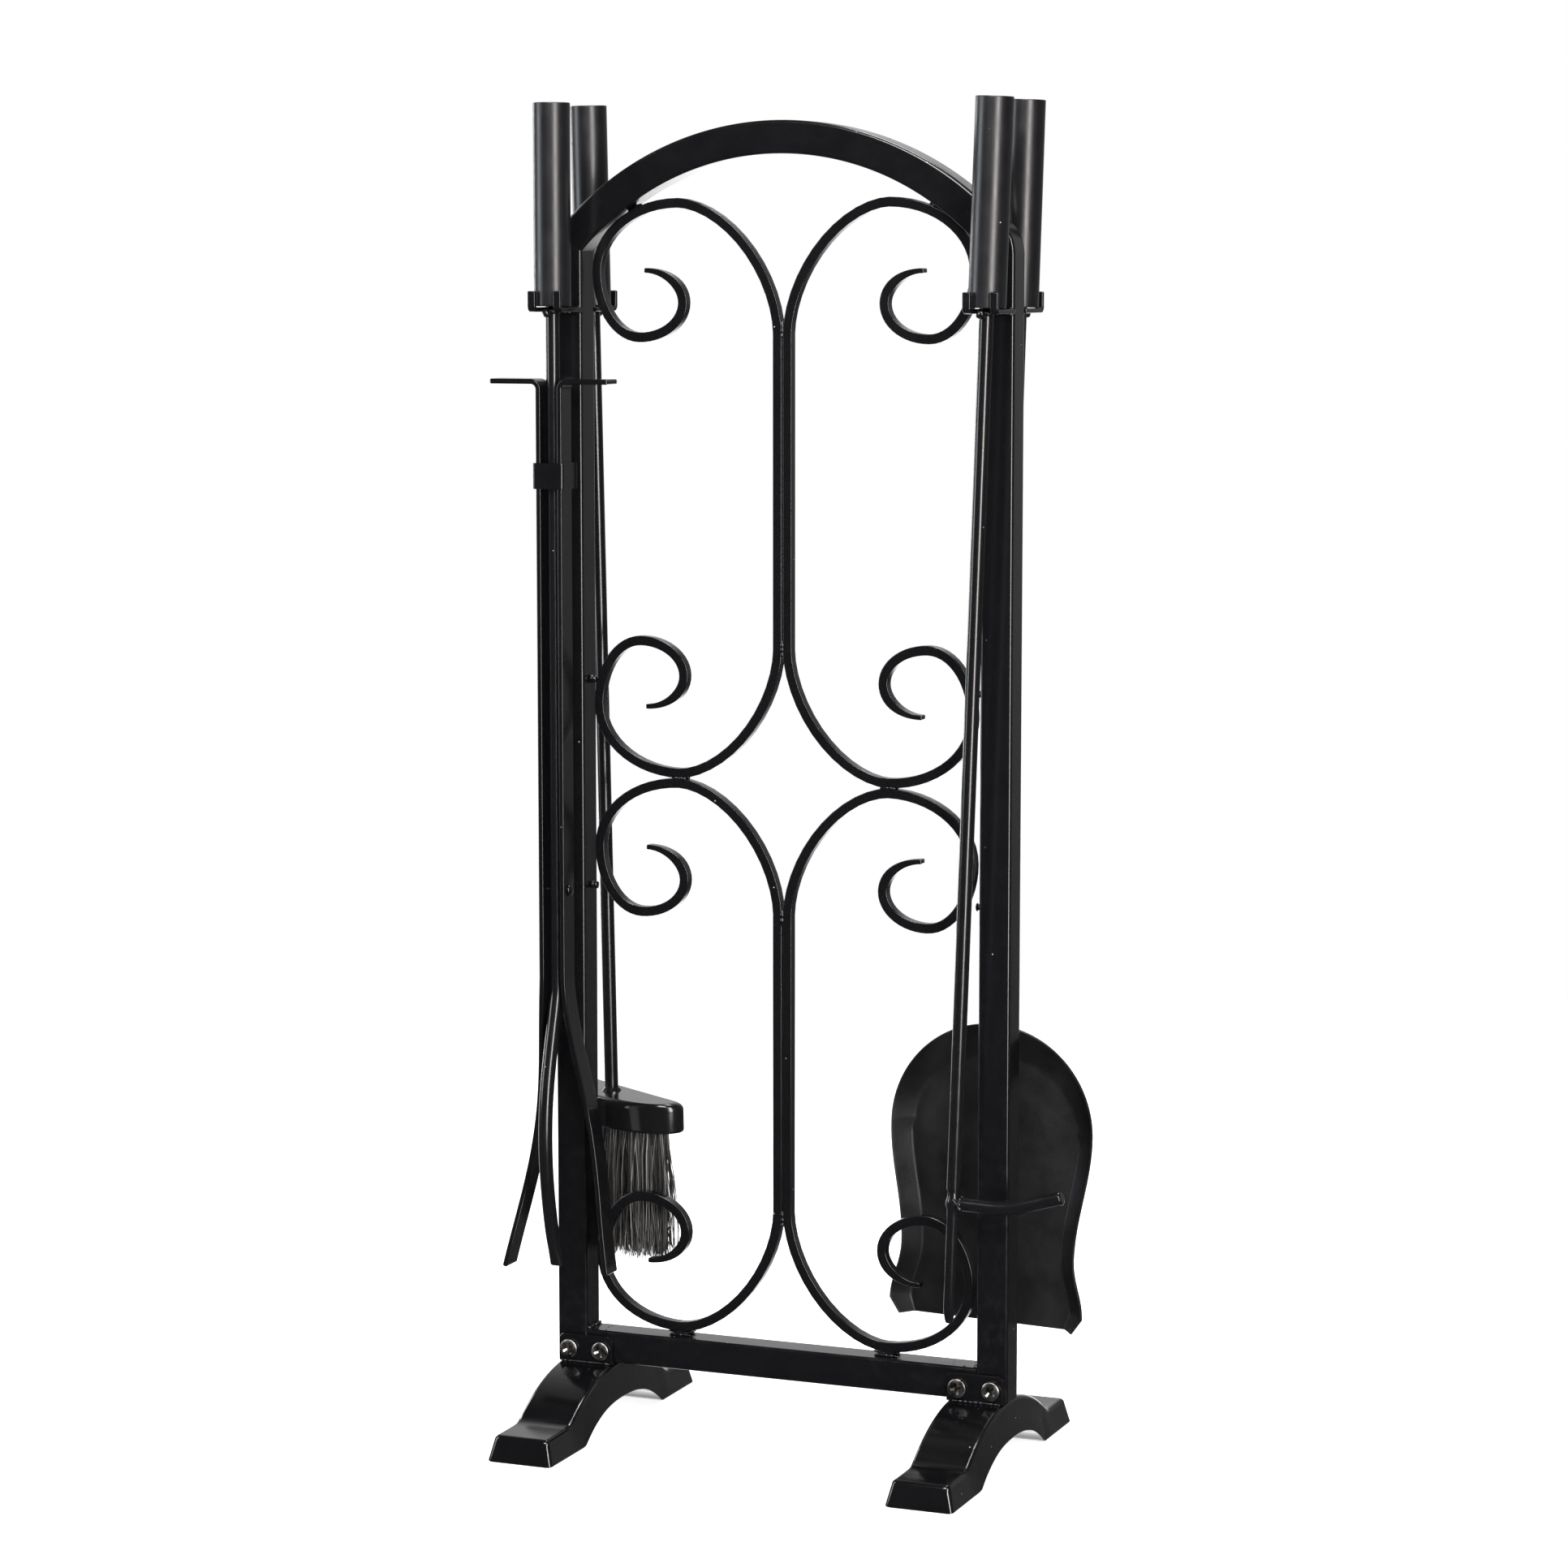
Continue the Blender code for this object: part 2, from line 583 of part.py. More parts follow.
def add_brush():
    hang = add_tool("brush", LEFT, REAR)
    rod = ROD / 2
    add_object("brush_rod", pin(rod, -BLOCK_DROP - 11 * MM, ROD_IN_HANDLE), parent=hang)
    yaw = (0, 0, BLOCK_YAW)
    levels = [(0.8 * MM, -BLOCK_HEIGHT), (0, -BLOCK_HEIGHT + 2 * MM), (0.4 * MM, -5 * MM)]
    levels += [(1.8 * MM, -2 * MM), (4.5 * MM, 0)]
    rings = [[Vector((a, b, z - BLOCK_DROP)) for a, b in block_outline(inset)] for inset, z in levels]
    block = add_object("brush_block", loft(rings), parent=hang, turn=yaw)
    cut(block, pin(rod + GAP, -BLOCK_DROP - 11.5 * MM, -BLOCK_DROP + 5 * MM))
    top = -BLOCK_DROP - BLOCK_HEIGHT - GAP
    tufts = [(BRISTLE_INSET, top), (BRISTLE_INSET - 3 * MM, top - BRISTLE_LENGTH)]
    rings = [[Vector((a, b, z)) for a, b in block_outline(inset)] for inset, z in tufts]
    add_object("brush_bristles", loft(rings), "bristle", hang, turn=yaw)


def ease(share):
    return 0.5 - 0.5 * math.cos(math.pi * share)


def pan_lines():
    """Half of the pan's rim and of its floor's edge, as (x, drop) pairs, from the mouth to the top."""
    rim, floor = [(PAN_MOUTH_HALF, PAN_MOUTH)], [(PAN_MOUTH_HALF - 7 * MM, PAN_MOUTH)]
    flare, waist, sides, turns = 4, 6, 0.8, 9
    for low, high, wide, narrow, steps in (
        (PAN_LIP, PAN_WAIST, PAN_LIP_HALF, PAN_WAIST_HALF, flare),
        (PAN_WAIST, PAN_WIDEST, PAN_WAIST_HALF, PAN_HALF, waist),
    ):
        for i in range(steps):
            x, drop = wide + (narrow - wide) * ease(i / steps), low + (high - low) * i / steps
            rim.append((x, drop))
            floor.append((x - 10.5 * MM, drop))
    for i in range(turns + 1):
        a = math.pi / 2 * i / turns
        across, up = math.cos(a), math.sin(a)
        rim.append((PAN_HALF * across, PAN_WIDEST - (PAN_WIDEST - PAN_APEX) * up))
        floor.append((sides * PAN_HALF * across, PAN_WIDEST - (PAN_WIDEST - PAN_APEX - 20 * MM) * up))
    return rim, floor


def pan_shape():
    """The pan's front skin: a flat floor, and a rim that slopes up to the front on three sides."""
    rim, floor = pan_lines()
    shape = bmesh.new()

    def row(points, y):
        right = [shape.verts.new((x, y, -drop)) for x, drop in points]
        left = [shape.verts.new((-x, y, -drop)) for x, drop in points[:-1]]
        return right + left[::-1]

    edge, base = row(rim, PAN_RIM_Y), row(floor, PAN_RIM_Y + PAN_DEPTH)
    for i in range(len(edge) - 1):
        shape.faces.new((edge[i], edge[i + 1], base[i + 1], base[i]))
    half = len(floor) - 1
    for i in range(half - 1):
        j = len(base) - 1 - i
        shape.faces.new((base[i], base[i + 1], base[j - 1], base[j]))
    shape.faces.new((base[half - 1], base[half], base[half + 1]))
    return shape


def add_shovel():
    hang = add_tool("shovel", RIGHT, REAR)
    pan = add_object("shovel_pan", pan_shape(), "pan_black", hang)
    shell = pan.modifiers.new("sheet", "SOLIDIFY")
    shell.thickness = PAN_SHEET
    shell.offset = 0
    floor_back = PAN_RIM_Y + PAN_DEPTH + PAN_SHEET / 2
    tongue, sheet = floor_back + GAP, 3 * MM
    line = [(0, -ROD_IN_HANDLE), (0, 372 * MM), (0.8 * MM, 378 * MM), (tongue + sheet / 2 - 1.5 * MM, 402 * MM)]
    line += [(tongue + sheet / 2, 409 * MM), (tongue + sheet / 2, 418 * MM), (tongue + sheet / 2, 452 * MM)]
    flat = [(0.5 * sheet / (ROD / 2), 1.7)] * 2
    shares = [(1, 1)] * 4 + [(0.62, 1.35)] + flat
    sections = [[(a * deep, b * wide) for a, b in round_section(ROD / 2)] for deep, wide in shares]
    rod = add_object("shovel_rod", swept(drop_path(line), Vector((1, 0, 0)), sections), parent=hang)
    through = (math.radians(90), 0, 0)
    shank, head = RIVET / 2, 3.2 * MM
    near, far = -(tongue + sheet + GAP), -(floor_back - PAN_SHEET - GAP)
    profile = [(head * 0.4, near - 1.4 * MM), (head, near - 0.4 * MM), (head, near), (shank, near)]
    profile += [(shank, far), (head, far), (head, far + 0.4 * MM), (head * 0.4, far + 1.4 * MM)]
    for word, drop in (("upper", 436 * MM), ("lower", 446 * MM)):
        seat = (0, 0, -drop)
        for piece in (pan, rod):
            cut(piece, pin(shank + GAP, -TUBE, 0, 12), seat, through)
        add_object("shovel_rivet_" + word, turned(profile, sides=12), parent=hang, place=seat, turn=through)


def main():
    clear_scene()
    add_frame()
    add_scrolls()
    add_feet()
    add_forks()
    add_tongs()
    add_poker()
    add_brush()
    add_shovel()


main()
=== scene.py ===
# %% [markdown]
# # A fireplace tool set
#
# This lesson builds a set of hearth tools: an arched stand of square steel tube filled with
# scrolls, and the tongs, poker, brush and shovel that hang from it. On the real set nearly
# everything is mild steel under black paint, so the lesson is about two things: getting small
# edges and welds right, and making one dark finish read in several ways.
#
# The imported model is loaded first. It fixes every size and every joint. Each piece below is a
# finer version of one of its solids, made in the same place, and it rides on the same body.

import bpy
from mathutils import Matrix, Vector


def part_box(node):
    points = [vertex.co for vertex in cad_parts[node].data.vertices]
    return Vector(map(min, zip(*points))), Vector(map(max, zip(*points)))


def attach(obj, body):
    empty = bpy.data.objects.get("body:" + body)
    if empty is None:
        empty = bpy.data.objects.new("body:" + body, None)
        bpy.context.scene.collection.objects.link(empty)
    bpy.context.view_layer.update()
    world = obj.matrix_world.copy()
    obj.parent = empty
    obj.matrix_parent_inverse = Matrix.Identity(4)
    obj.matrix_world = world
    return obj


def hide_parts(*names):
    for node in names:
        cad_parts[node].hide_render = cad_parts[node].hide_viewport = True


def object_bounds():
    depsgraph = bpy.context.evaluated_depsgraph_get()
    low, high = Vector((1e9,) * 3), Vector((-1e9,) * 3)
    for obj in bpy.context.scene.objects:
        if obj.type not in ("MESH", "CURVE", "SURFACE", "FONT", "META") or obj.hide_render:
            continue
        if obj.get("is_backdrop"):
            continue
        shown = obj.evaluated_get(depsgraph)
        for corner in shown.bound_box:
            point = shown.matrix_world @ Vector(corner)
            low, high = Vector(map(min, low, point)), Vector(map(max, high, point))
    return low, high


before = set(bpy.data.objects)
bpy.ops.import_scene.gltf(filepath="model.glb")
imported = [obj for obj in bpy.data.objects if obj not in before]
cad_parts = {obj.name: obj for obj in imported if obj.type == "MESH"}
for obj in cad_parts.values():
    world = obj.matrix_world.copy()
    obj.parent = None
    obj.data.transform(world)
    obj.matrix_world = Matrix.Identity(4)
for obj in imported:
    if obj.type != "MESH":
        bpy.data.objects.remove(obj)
cad_box = [list(corner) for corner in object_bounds()]

import math
import random

import bmesh
import bpy
from mathutils import Matrix, Vector, noise

# %% [markdown]
# ## Sizes
#
# Blender works in metres, and a workshop drawing in millimetres. Writing `19 * MM` keeps both
# happy. The first sizes are the ones that many pieces share: the tube, the stand's width, and
# the point that each tool hangs from.

# %% Shared sizes
MM = 0.001
TUBE, WALL, TUBE_CORNER = 19 * MM, 1.5 * MM, 1.9 * MM
STAND_HALF = 142 * MM
BAR_LOW = 39 * MM
ARCH_TOP, ARCH_RADIUS = 770 * MM, 185 * MM
HANG_X, HANG_Y = STAND_HALF - TUBE / 2, 28 * MM
HANG_Z = 664.8 * MM
ROD = 4.1 * MM  # radius
LEFT, RIGHT, FRONT, REAR = -1, 1, -1, 1
SIDES = ((LEFT, "left"), (RIGHT, "right"))
UP, ACROSS, DEEP = Vector((0, 0, 1)), Vector((1, 0, 0)), Vector((0, 1, 0))
dice = random.Random(7)

low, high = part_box("top_arch")
print(f"arch {1000 * (high.x - low.x):.1f} mm wide, its top {1000 * high.z:.1f} mm up")

# %% [markdown]
# ## Shader maths that reads like maths
#
# Blender's shader graph is made of nodes and wires. A `Wire` wraps one output socket, and the
# operators add a Math node each time they are used, so `1 - mask * 0.5` builds itself. The
# reflected versions (`__radd__` and so on) let the plain number come first.


# %% Wires and looks
class Wire:
    """One output of a shader graph, which Python's own operators can join to others."""

    def __init__(self, look, socket):
        self.look, self.socket = look, socket

    def maths(self, operation, first, second=0.0):
        return self.look.node("ShaderNodeMath", {"operation": operation}, {0: first, 1: second})

    def __add__(self, other):
        return self.maths("ADD", self, other)

    def __sub__(self, other):
        return self.maths("SUBTRACT", self, other)

    def __rsub__(self, other):
        return self.maths("SUBTRACT", other, self)

    def __mul__(self, other):
        return self.maths("MULTIPLY", self, other)

    def __lt__(self, other):
        return self.maths("LESS_THAN", self, other)

    __radd__, __rmul__ = __add__, __mul__


class Graph:
    """A node graph being drawn. Its place is where on the object, or which way in the room."""

    def __init__(self, tree, shader, place):
        self.tree, self.shader = tree, tree.nodes[shader]
        self.place = self.node("ShaderNodeTexCoord", output=place)

    def node(self, kind, settings=None, inputs=None, output=0):
        """Adds a node: its settings first, then its sockets, each from a value or a wire."""
        made = self.tree.nodes.new(kind)
        for key, value in (settings or {}).items():
            setattr(made, key, value)
        for key, value in (inputs or {}).items():
            if isinstance(value, Wire):
                self.tree.links.new(value.socket, made.inputs[key])
            else:
                made.inputs[key].default_value = value
        return Wire(self, made.outputs[output])

    def set(self, socket, value):
        """Puts a number, a colour or a wire on the shader."""
        if isinstance(value, Wire):
            self.tree.links.new(value.socket, self.shader.inputs[socket])
        else:
            self.shader.inputs[socket].default_value = value

    def stretched(self, x, y, z):
        """The place, with each axis scaled, for a grain that runs one way."""
        settings = {"operation": "MULTIPLY"}
        return self.node("ShaderNodeVectorMath", settings, {0: self.place, 1: (x, y, z)})

    def cloud(self, scale, detail=2.0, rough=0.5, place=None):
        """Soft noise from 0 to 1. The scale is in cells per metre."""
        inputs = {"Vector": place or self.place, "Scale": scale, "Detail": detail, "Roughness": rough}
        return self.node("ShaderNodeTexNoise", None, inputs)

    def spots(self, scale, size, share):
        """Small round specks: 1 inside, on that share of the cells."""
        inputs = {"Vector": self.place, "Scale": scale}
        far = self.node("ShaderNodeTexVoronoi", None, inputs, "Distance")
        pick = self.node("ShaderNodeTexVoronoi", None, inputs, "Color")
        pick = self.node("ShaderNodeSeparateColor", None, {0: pick})
        return (far < size * scale) * (pick < share)

    def between(self, wire, low, high, start=0.0, end=1.0):
        """Maps low..high of a wire to start..end, and holds it there."""
        inputs = {"Value": wire, "From Min": low, "From Max": high, "To Min": start, "To Max": end}
        return self.node("ShaderNodeMapRange", None, inputs)

    def mix(self, share, first, second):
        """Two colours mixed; each is a wire or three numbers."""
        first, second = (c if isinstance(c, Wire) else (*c, 1.0) for c in (first, second))
        return self.node("ShaderNodeMix", {"data_type": "RGBA"}, {0: share, 6: first, 7: second}, 2)

    def bump(self, height, depth, strength=1.0, over=None):
        """Tilts the surface by a height from 0 to 1, that many metres deep."""
        inputs = {"Height": height, "Distance": depth, "Strength": strength}
        if over:
            inputs["Normal"] = over
        return self.node("ShaderNodeBump", None, inputs)


class Look(Graph):
    """A material, by name."""

    def __init__(self, name, metal=0.0):
        self.material = bpy.data.materials.new(name)
        self.material.use_nodes = True
        super().__init__(self.material.node_tree, "Principled BSDF", "Object")
        self.set("Metallic", metal)


# %% [markdown]
# ## Black paint on steel
#
# The stand and the rods wear the same semi-gloss black. Real paint is never one black: it
# pools a little thicker in places, dries with a faint orange peel, is rubbed where tools knock
# it, and picks up pale dust. Each of those is one layer here, at its own scale.


# %% The paints
BARE_GREY, DUST_GREY = (0.03, 0.029, 0.029), (0.4, 0.39, 0.38)
FILM_DARK, FILM_PALE = (0.002, 0.002, 0.0026), (0.004, 0.0038, 0.0046)


def paint(name, dark, pale, rough, peel=0.00006, dust=0.12, streak=0.0, wave=0.12):
    """A black finish with uneven film, orange peel, rubbed edges and dust."""
    look = Look(name)
    film = look.cloud(35, 3)
    colour = look.mix(film, dark, pale)
    edge = look.node("ShaderNodeNewGeometry", output="Pointiness")
    rubbed = look.between(edge, 0.56, 0.68) * look.between(look.cloud(180, 4), 0.5, 0.72)
    colour = look.mix(rubbed * 0.3, colour, BARE_GREY)
    patches = look.between(look.cloud(24, 2), 0.52, 0.56)
    specks = look.spots(190, 0.00042, dust) * patches
    loose = look.spots(60, 0.00046, dust * 1.5)
    specks = look.node("ShaderNodeMath", {"operation": "MAXIMUM"}, {0: specks, 1: loose})
    colour = look.mix(specks * 0.75, colour, DUST_GREY)
    look.set("Base Color", colour)
    worn = look.cloud(90, 5, 0.6)
    shine = look.between(worn, 0.3, 0.75, rough - 0.03, rough + 0.06) + rubbed * 0.06 + specks * 0.3
    look.set("Roughness", shine)
    skin = look.bump(look.cloud(650, 2), peel, 0.3)
    if streak:
        drawn = look.cloud(1, 2, 0.5, look.stretched(900, 900, 14))
        skin = look.bump(drawn, streak, 0.5, skin)
    skin = look.bump(look.cloud(46, 1), 0.0006, wave, skin)
    skin = look.bump(specks, 0.0002, 0.6, skin)
    look.set("Normal", skin)
    return look.material


gloss = paint("stand_paint", FILM_DARK, FILM_PALE, 0.19, 0.00002)
dark, pale = (0.0025, 0.0025, 0.003), (0.005, 0.0048, 0.0058)
rods = paint("rod_paint", dark, pale, 0.21, 0.00002, 0.16)
dark, pale = (0.002, 0.002, 0.0024), (0.0045, 0.0043, 0.005)
cast = paint("foot_paint", dark, pale, 0.13, 0.00006, 0.1, 0.00003, 0.42)
dark, pale = (0.0025, 0.0025, 0.0032), (0.006, 0.0058, 0.0072)
satin = paint("handle_paint", dark, pale, 0.34, 0.00007, 0.16, 0.00003)
dark, pale = (0.003, 0.003, 0.0034), (0.006, 0.0058, 0.0066)
block_paint = paint("block_paint", dark, pale, 0.15, 0.00006, 0.1)
print("paints:", gloss.name, rods.name, cast.name, satin.name, block_paint.name)

# %% [markdown]
# ## The other finishes
#
# The pan is pressed sheet with a matt, faintly sandy paint, so its bump is stronger and it has
# pale rub marks. The foot screws are nickel gone dark, with turning marks. The nuts that they
# thread into are zinc, and the bristles are stiff dyed fibre, each fibre a tone of its own and
# the stray ones ranging paler, with painted shade darkening every fibre towards the block.


# %% Pan, screws, nuts and bristles
def pan_paint():
    look = Look("pan_paint")
    patch = look.cloud(28, 5, 0.62)
    dark, pale = (0.0025, 0.0025, 0.003), (0.0075, 0.0073, 0.0082)
    colour = look.mix(look.between(patch, 0.35, 0.7), dark, pale)
    marks = look.between(look.cloud(1, 4, 0.6, look.stretched(60, 60, 260)), 0.66, 0.74)
    specks = look.spots(75, 0.00045, 0.1)
    colour = look.mix(marks * 0.25, colour, (0.02, 0.0195, 0.0195))
    colour = look.mix(specks * 0.6, colour, (0.14, 0.135, 0.13))
    look.set("Base Color", colour)
    grain = look.cloud(1500, 2, 0.6)
    look.set("Roughness", look.between(patch, 0.3, 0.7, 0.33, 0.46) + grain * 0.06)
    look.set("Normal", look.bump(look.cloud(60, 2), 0.0008, 0.25, look.bump(grain, 0.00016, 0.5)))
    return look.material


def plated(name, dark, pale, rough):
    look = Look(name, metal=1.0)
    patch = look.cloud(260, 4, 0.6)
    look.set("Base Color", look.mix(look.between(patch, 0.35, 0.65), dark, pale))
    scratch = look.cloud(1, 3, 0.6, look.stretched(300, 2500, 4200))
    dull = look.between(patch, 0.3, 0.7, rough - 0.06, rough + 0.12)
    look.set("Roughness", dull + scratch * 0.08)
    look.set("Normal", look.bump(scratch, 0.00003, 0.4))
    return look.material


def bristle_fibre():
    look = Look("bristle_fibre")
    shade = look.node("ShaderNodeAttribute", {"attribute_name": "shade"}, output="Fac")
    grime = look.cloud(400, 2)
    # The shade attribute is each fibre's own tone times a painted shade that darkens it towards the block;
    # the core, left at 0, gets the darkest colour as painted shade.
    colour = look.mix(look.between(shade, 0.0, 1.0), (0.01, 0.01, 0.0105), (0.26, 0.25, 0.24))
    look.set("Base Color", look.mix(grime * 0.4, colour, (0.01, 0.0095, 0.009)))
    look.set("Roughness", look.between(grime, 0.3, 0.7, 0.36, 0.52))
    streaks = look.cloud(1, 2, 0.5, look.stretched(4000, 4000, 300))
    look.set("Normal", look.bump(streaks, 0.00004, 0.3))
    return look.material


sheet = pan_paint()
nickel = plated("dark_nickel_plate", (0.09, 0.086, 0.08), (0.34, 0.325, 0.31), 0.26)
zinc = plated("zinc_plate", (0.3, 0.3, 0.31), (0.5, 0.5, 0.51), 0.38)
fibre = bristle_fibre()
print("other finishes:", sheet.name, nickel.name, zinc.name, fibre.name)

# %% [markdown]
# ## Making shapes
#
# Every piece starts as a **loft**: a stack of rings with the same number of points, joined
# with quads. A turned piece is a stack of circles, and a bent bar is a stack of sections
# carried along a path. Sections have rounded corners, because it is the narrow bright line on
# a rounded corner that tells the eye "painted steel".


# %% Lofts, sections and sweeps
def loft(rings, closed=False, shape=None):
    """A bmesh through rings of equal length, capped unless it runs round into itself."""
    shape = shape or bmesh.new()
    loops = [[shape.verts.new(point) for point in ring] for ring in rings]
    spans = list(zip(loops, loops[1:])) + ([(loops[-1], loops[0])] if closed else [])
    count = len(rings[0])
    for here, there in spans:
        for i in range(count):
            j = (i + 1) % count
            shape.faces.new((here[i], here[j], there[j], there[i]))
    if not closed:
        shape.faces.new(loops[0])
        shape.faces.new(loops[-1][::-1])
    return shape


def square_section(thick, wide, corner, steps=4):
    """Pairs (a, b) round a rectangle with rounded corners."""
    corner = min(corner, 0.47 * thick, 0.47 * wide)
    flat_a, flat_b = thick / 2 - corner, wide / 2 - corner
    pairs = []
    for turn, (a, b) in enumerate(((1, 1), (-1, 1), (-1, -1), (1, -1))):
        for step in range(steps + 1):
            angle = math.pi / 2 * (turn + step / steps)
            pairs.append((a * flat_a + corner * math.cos(angle), b * flat_b + corner * math.sin(angle)))
    return pairs


def round_section(radius_a, radius_b=None, sides=32):
    radius_b = radius_b or radius_a
    turns = [math.tau * i / sides for i in range(sides)]
    return [(radius_a * math.cos(t), radius_b * math.sin(t)) for t in turns]


def swept(path, side, sections, shape=None):
    """Sections carried along a path that lies in the plane square to side."""
    rings, last = [], len(path) - 1
    for i, (point, section) in enumerate(zip(path, sections)):
        before = (point - path[i - 1] if i else path[1] - point).normalized()
        after = (path[i + 1] - point if i < last else point - path[i - 1]).normalized()
        along = (before + after).normalized()
        across = along.cross(side)
        stretch = 1 / max(along.dot(after), 0.5)
        rings.append([point + across * a * stretch + side * b for a, b in section])
    return loft(rings, shape=shape)


def eased_ends(path, sizes, radius, steps=3):
    """Rounds off both ends of a swept bar, each size being (thick, wide, corner)."""
    path, sizes = list(path), list(sizes)
    for _ in range(2):
        start, way, size = path[0], (path[1] - path[0]).normalized(), sizes[0]
        r = min(radius, 0.42 * size[0])
        while len(path) > 2 and (path[0] - start).length <= 1.05 * r:
            path, sizes = path[1:], sizes[1:]
        stations = []
        for step in range(steps + 1):
            angle = math.pi / 2 * step / steps
            inset = r * (1 - math.sin(angle))
            stations.append((start + way * r * (1 - math.cos(angle)), inset))
        path = [point for point, _ in stations] + path
        trimmed = [(size[0] - 2 * i, size[1] - 2 * i, max(size[2] - i, 0.1 * MM)) for _, i in stations]
        sizes = trimmed + sizes
        path, sizes = path[::-1], sizes[::-1]
    return path, sizes


def flat_bar(path, side, sizes, ease, shape=None):
    """A bar of rounded rectangles with eased ends."""
    path, sizes = eased_ends(path, sizes, ease)
    return swept(path, side, [square_section(*size) for size in sizes], shape)


def round_bar(path, side, radii, ease=1 * MM, sides=32, shape=None):
    """A rod. Each radius is a number, or (along the bend, along side) where it is flattened."""
    pairs = [r if isinstance(r, tuple) else (r, r) for r in radii]
    path, sizes = eased_ends(path, [(2 * a, 2 * b, 0) for a, b in pairs], ease)
    return swept(path, side, [round_section(s[0] / 2, s[1] / 2, sides) for s in sizes], shape)


def turned(profile, sides=64, closed=False, shape=None):
    """A piece turned about Z from (radius, height) pairs."""
    turns = [math.tau * i / sides for i in range(sides)]
    rings = [[Vector((r * math.cos(t), r * math.sin(t), z)) for t in turns] for r, z in profile]
    return loft(rings, closed, shape)


def arc(centre, radius, start, end, steps):
    turns = [math.radians(start + (end - start) * i / steps) for i in range(steps + 1)]
    return [(centre[0] + radius * math.cos(t), centre[1] + radius * math.sin(t)) for t in turns]


def smooth(share):
    share = min(max(share, 0.0), 1.0)
    return share * share * (3 - 2 * share)


print("a tube's section has", len(square_section(TUBE, TUBE, TUBE_CORNER, 5)), "points")

# %% [markdown]
# Some shapes are easier to cut than to loft. `modified` hands a shape to one of Blender's
# modifiers and takes the result back, and `carved` uses that to cut one shape out of another,
# or, with UNION, to join the two.
# `piece` turns a finished shape into a named object: it gives it a material, hangs it on the
# empty of the body it rides on, and hides the solids it stands for.


# %% Cutting, and making pieces
made = []


def shown(shape, name="bench"):
    bmesh.ops.recalc_face_normals(shape, faces=shape.faces)
    mesh = bpy.data.meshes.new(name)
    shape.to_mesh(mesh)
    shape.free()
    obj = bpy.data.objects.new(name, mesh)
    bpy.context.scene.collection.objects.link(obj)
    return obj


def modified(shape, kind, **settings):
    obj = shown(shape)
    modifier = obj.modifiers.new(kind, kind)
    for key, value in settings.items():
        setattr(modifier, key, value)
    evaluated = obj.evaluated_get(bpy.context.evaluated_depsgraph_get())
    result = bmesh.new()
    result.from_mesh(evaluated.to_mesh())
    evaluated.to_mesh_clear()
    bpy.data.objects.remove(obj, do_unlink=True)
    return result


def carved(shape, cutter, operation="DIFFERENCE"):
    tool = shown(cutter)
    result = modified(shape, "BOOLEAN", operation=operation, solver="EXACT", object=tool)
    bpy.data.objects.remove(tool, do_unlink=True)
    return result


def softened(shape, width, segments=2, angle=38):
    limits = {"limit_method": "ANGLE", "angle_limit": math.radians(angle)}
    return modified(shape, "BEVEL", width=width, segments=segments, **limits)


def piece(name, shape, material, body, replaces=(), place=None, crease=32):
    """A finished piece in its place, riding on a body."""
    if place:
        bmesh.ops.transform(shape, matrix=place, verts=shape.verts)
    obj = shown(shape, name)
    obj.data.shade_smooth()
    obj.data.set_sharp_from_angle(angle=math.radians(crease))
    obj.data.materials.append(material)
    flat = obj.modifiers.new("flat faces stay flat", "WEIGHTED_NORMAL")
    flat.keep_sharp, flat.weight = True, 80
    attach(obj, body)
    if replaces:
        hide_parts(*replaces)
    made.append(obj)
    return obj


# %% [markdown]
# ## The square tube frame
#
# Two uprights, a bent arch and a bottom bar are all one stock: 19 mm square tube with a
# 1.5 mm wall and softly rounded corners. The arch meets each upright on a sloping mitre,
# which is welded and ground flush, so the pieces meet with no gap here.


# %% Uprights, arch and bar
def tube_ring(outer, inner, inset):
    across = inner - outer
    corner = max(TUBE_CORNER - inset, 0.4 * MM)
    section = square_section(across.length - 2 * inset, TUBE - 2 * inset, corner, 5)
    middle, across = (outer + inner) / 2, across.normalized()
    return [middle + across * a + DEEP * b for a, b in section]


def tube(stations):
    outside = [tube_ring(outer, inner, 0) for outer, inner in stations]
    bore = [tube_ring(outer, inner, WALL) for outer, inner in stations]
    return loft(outside + bore[::-1], closed=True)


def arch_pairs(steps=72):
    centre, inner_radius = ARCH_TOP - ARCH_RADIUS, ARCH_RADIUS - TUBE
    reaches = (
        (ARCH_RADIUS, math.asin(STAND_HALF / ARCH_RADIUS)),
        (inner_radius, math.asin((STAND_HALF - TUBE) / inner_radius)),
    )
    pairs = []
    for i in range(steps + 1):
        way = 2 * i / steps - 1
        ends = [(r * math.sin(reach * way), 0, centre + r * math.cos(reach * way)) for r, reach in reaches]
        pairs.append(tuple(Vector(end) for end in ends))
    return pairs


def worn_corner(pair, depth):
    """A pair of points with its outer one ground in by that depth."""
    outer, inner = pair
    return outer + (inner - outer).normalized() * depth, inner


mitres = arch_pairs()
CORNER_GRIND = (1.5 * MM, 0.45 * MM, 0.1 * MM)
for i, depth in enumerate(CORNER_GRIND):
    mitres[i], mitres[-1 - i] = worn_corner(mitres[i], depth), worn_corner(mitres[-1 - i], depth)
piece("arch_tube", tube(mitres), gloss, "stand", ["top_arch"])
for side, word in SIDES:
    outer, inner = mitres[0 if side == LEFT else -1]
    face = side * STAND_HALF
    levels = (BAR_LOW, inner.z - 8 * MM, inner.z - 2 * MM)
    stations = [(Vector((face, 0, z)), Vector((inner.x, 0, z))) for z in levels]
    last = (Vector((face, 0, inner.z + 2.4 * MM)), inner - UP * 0.7 * MM)
    stations.append(worn_corner(last, CORNER_GRIND[1]))
    stations.append((outer, inner))
    piece(f"upright_tube_{word}", tube(stations), gloss, "stand", [f"{word}_upright"])
reach = STAND_HALF - TUBE
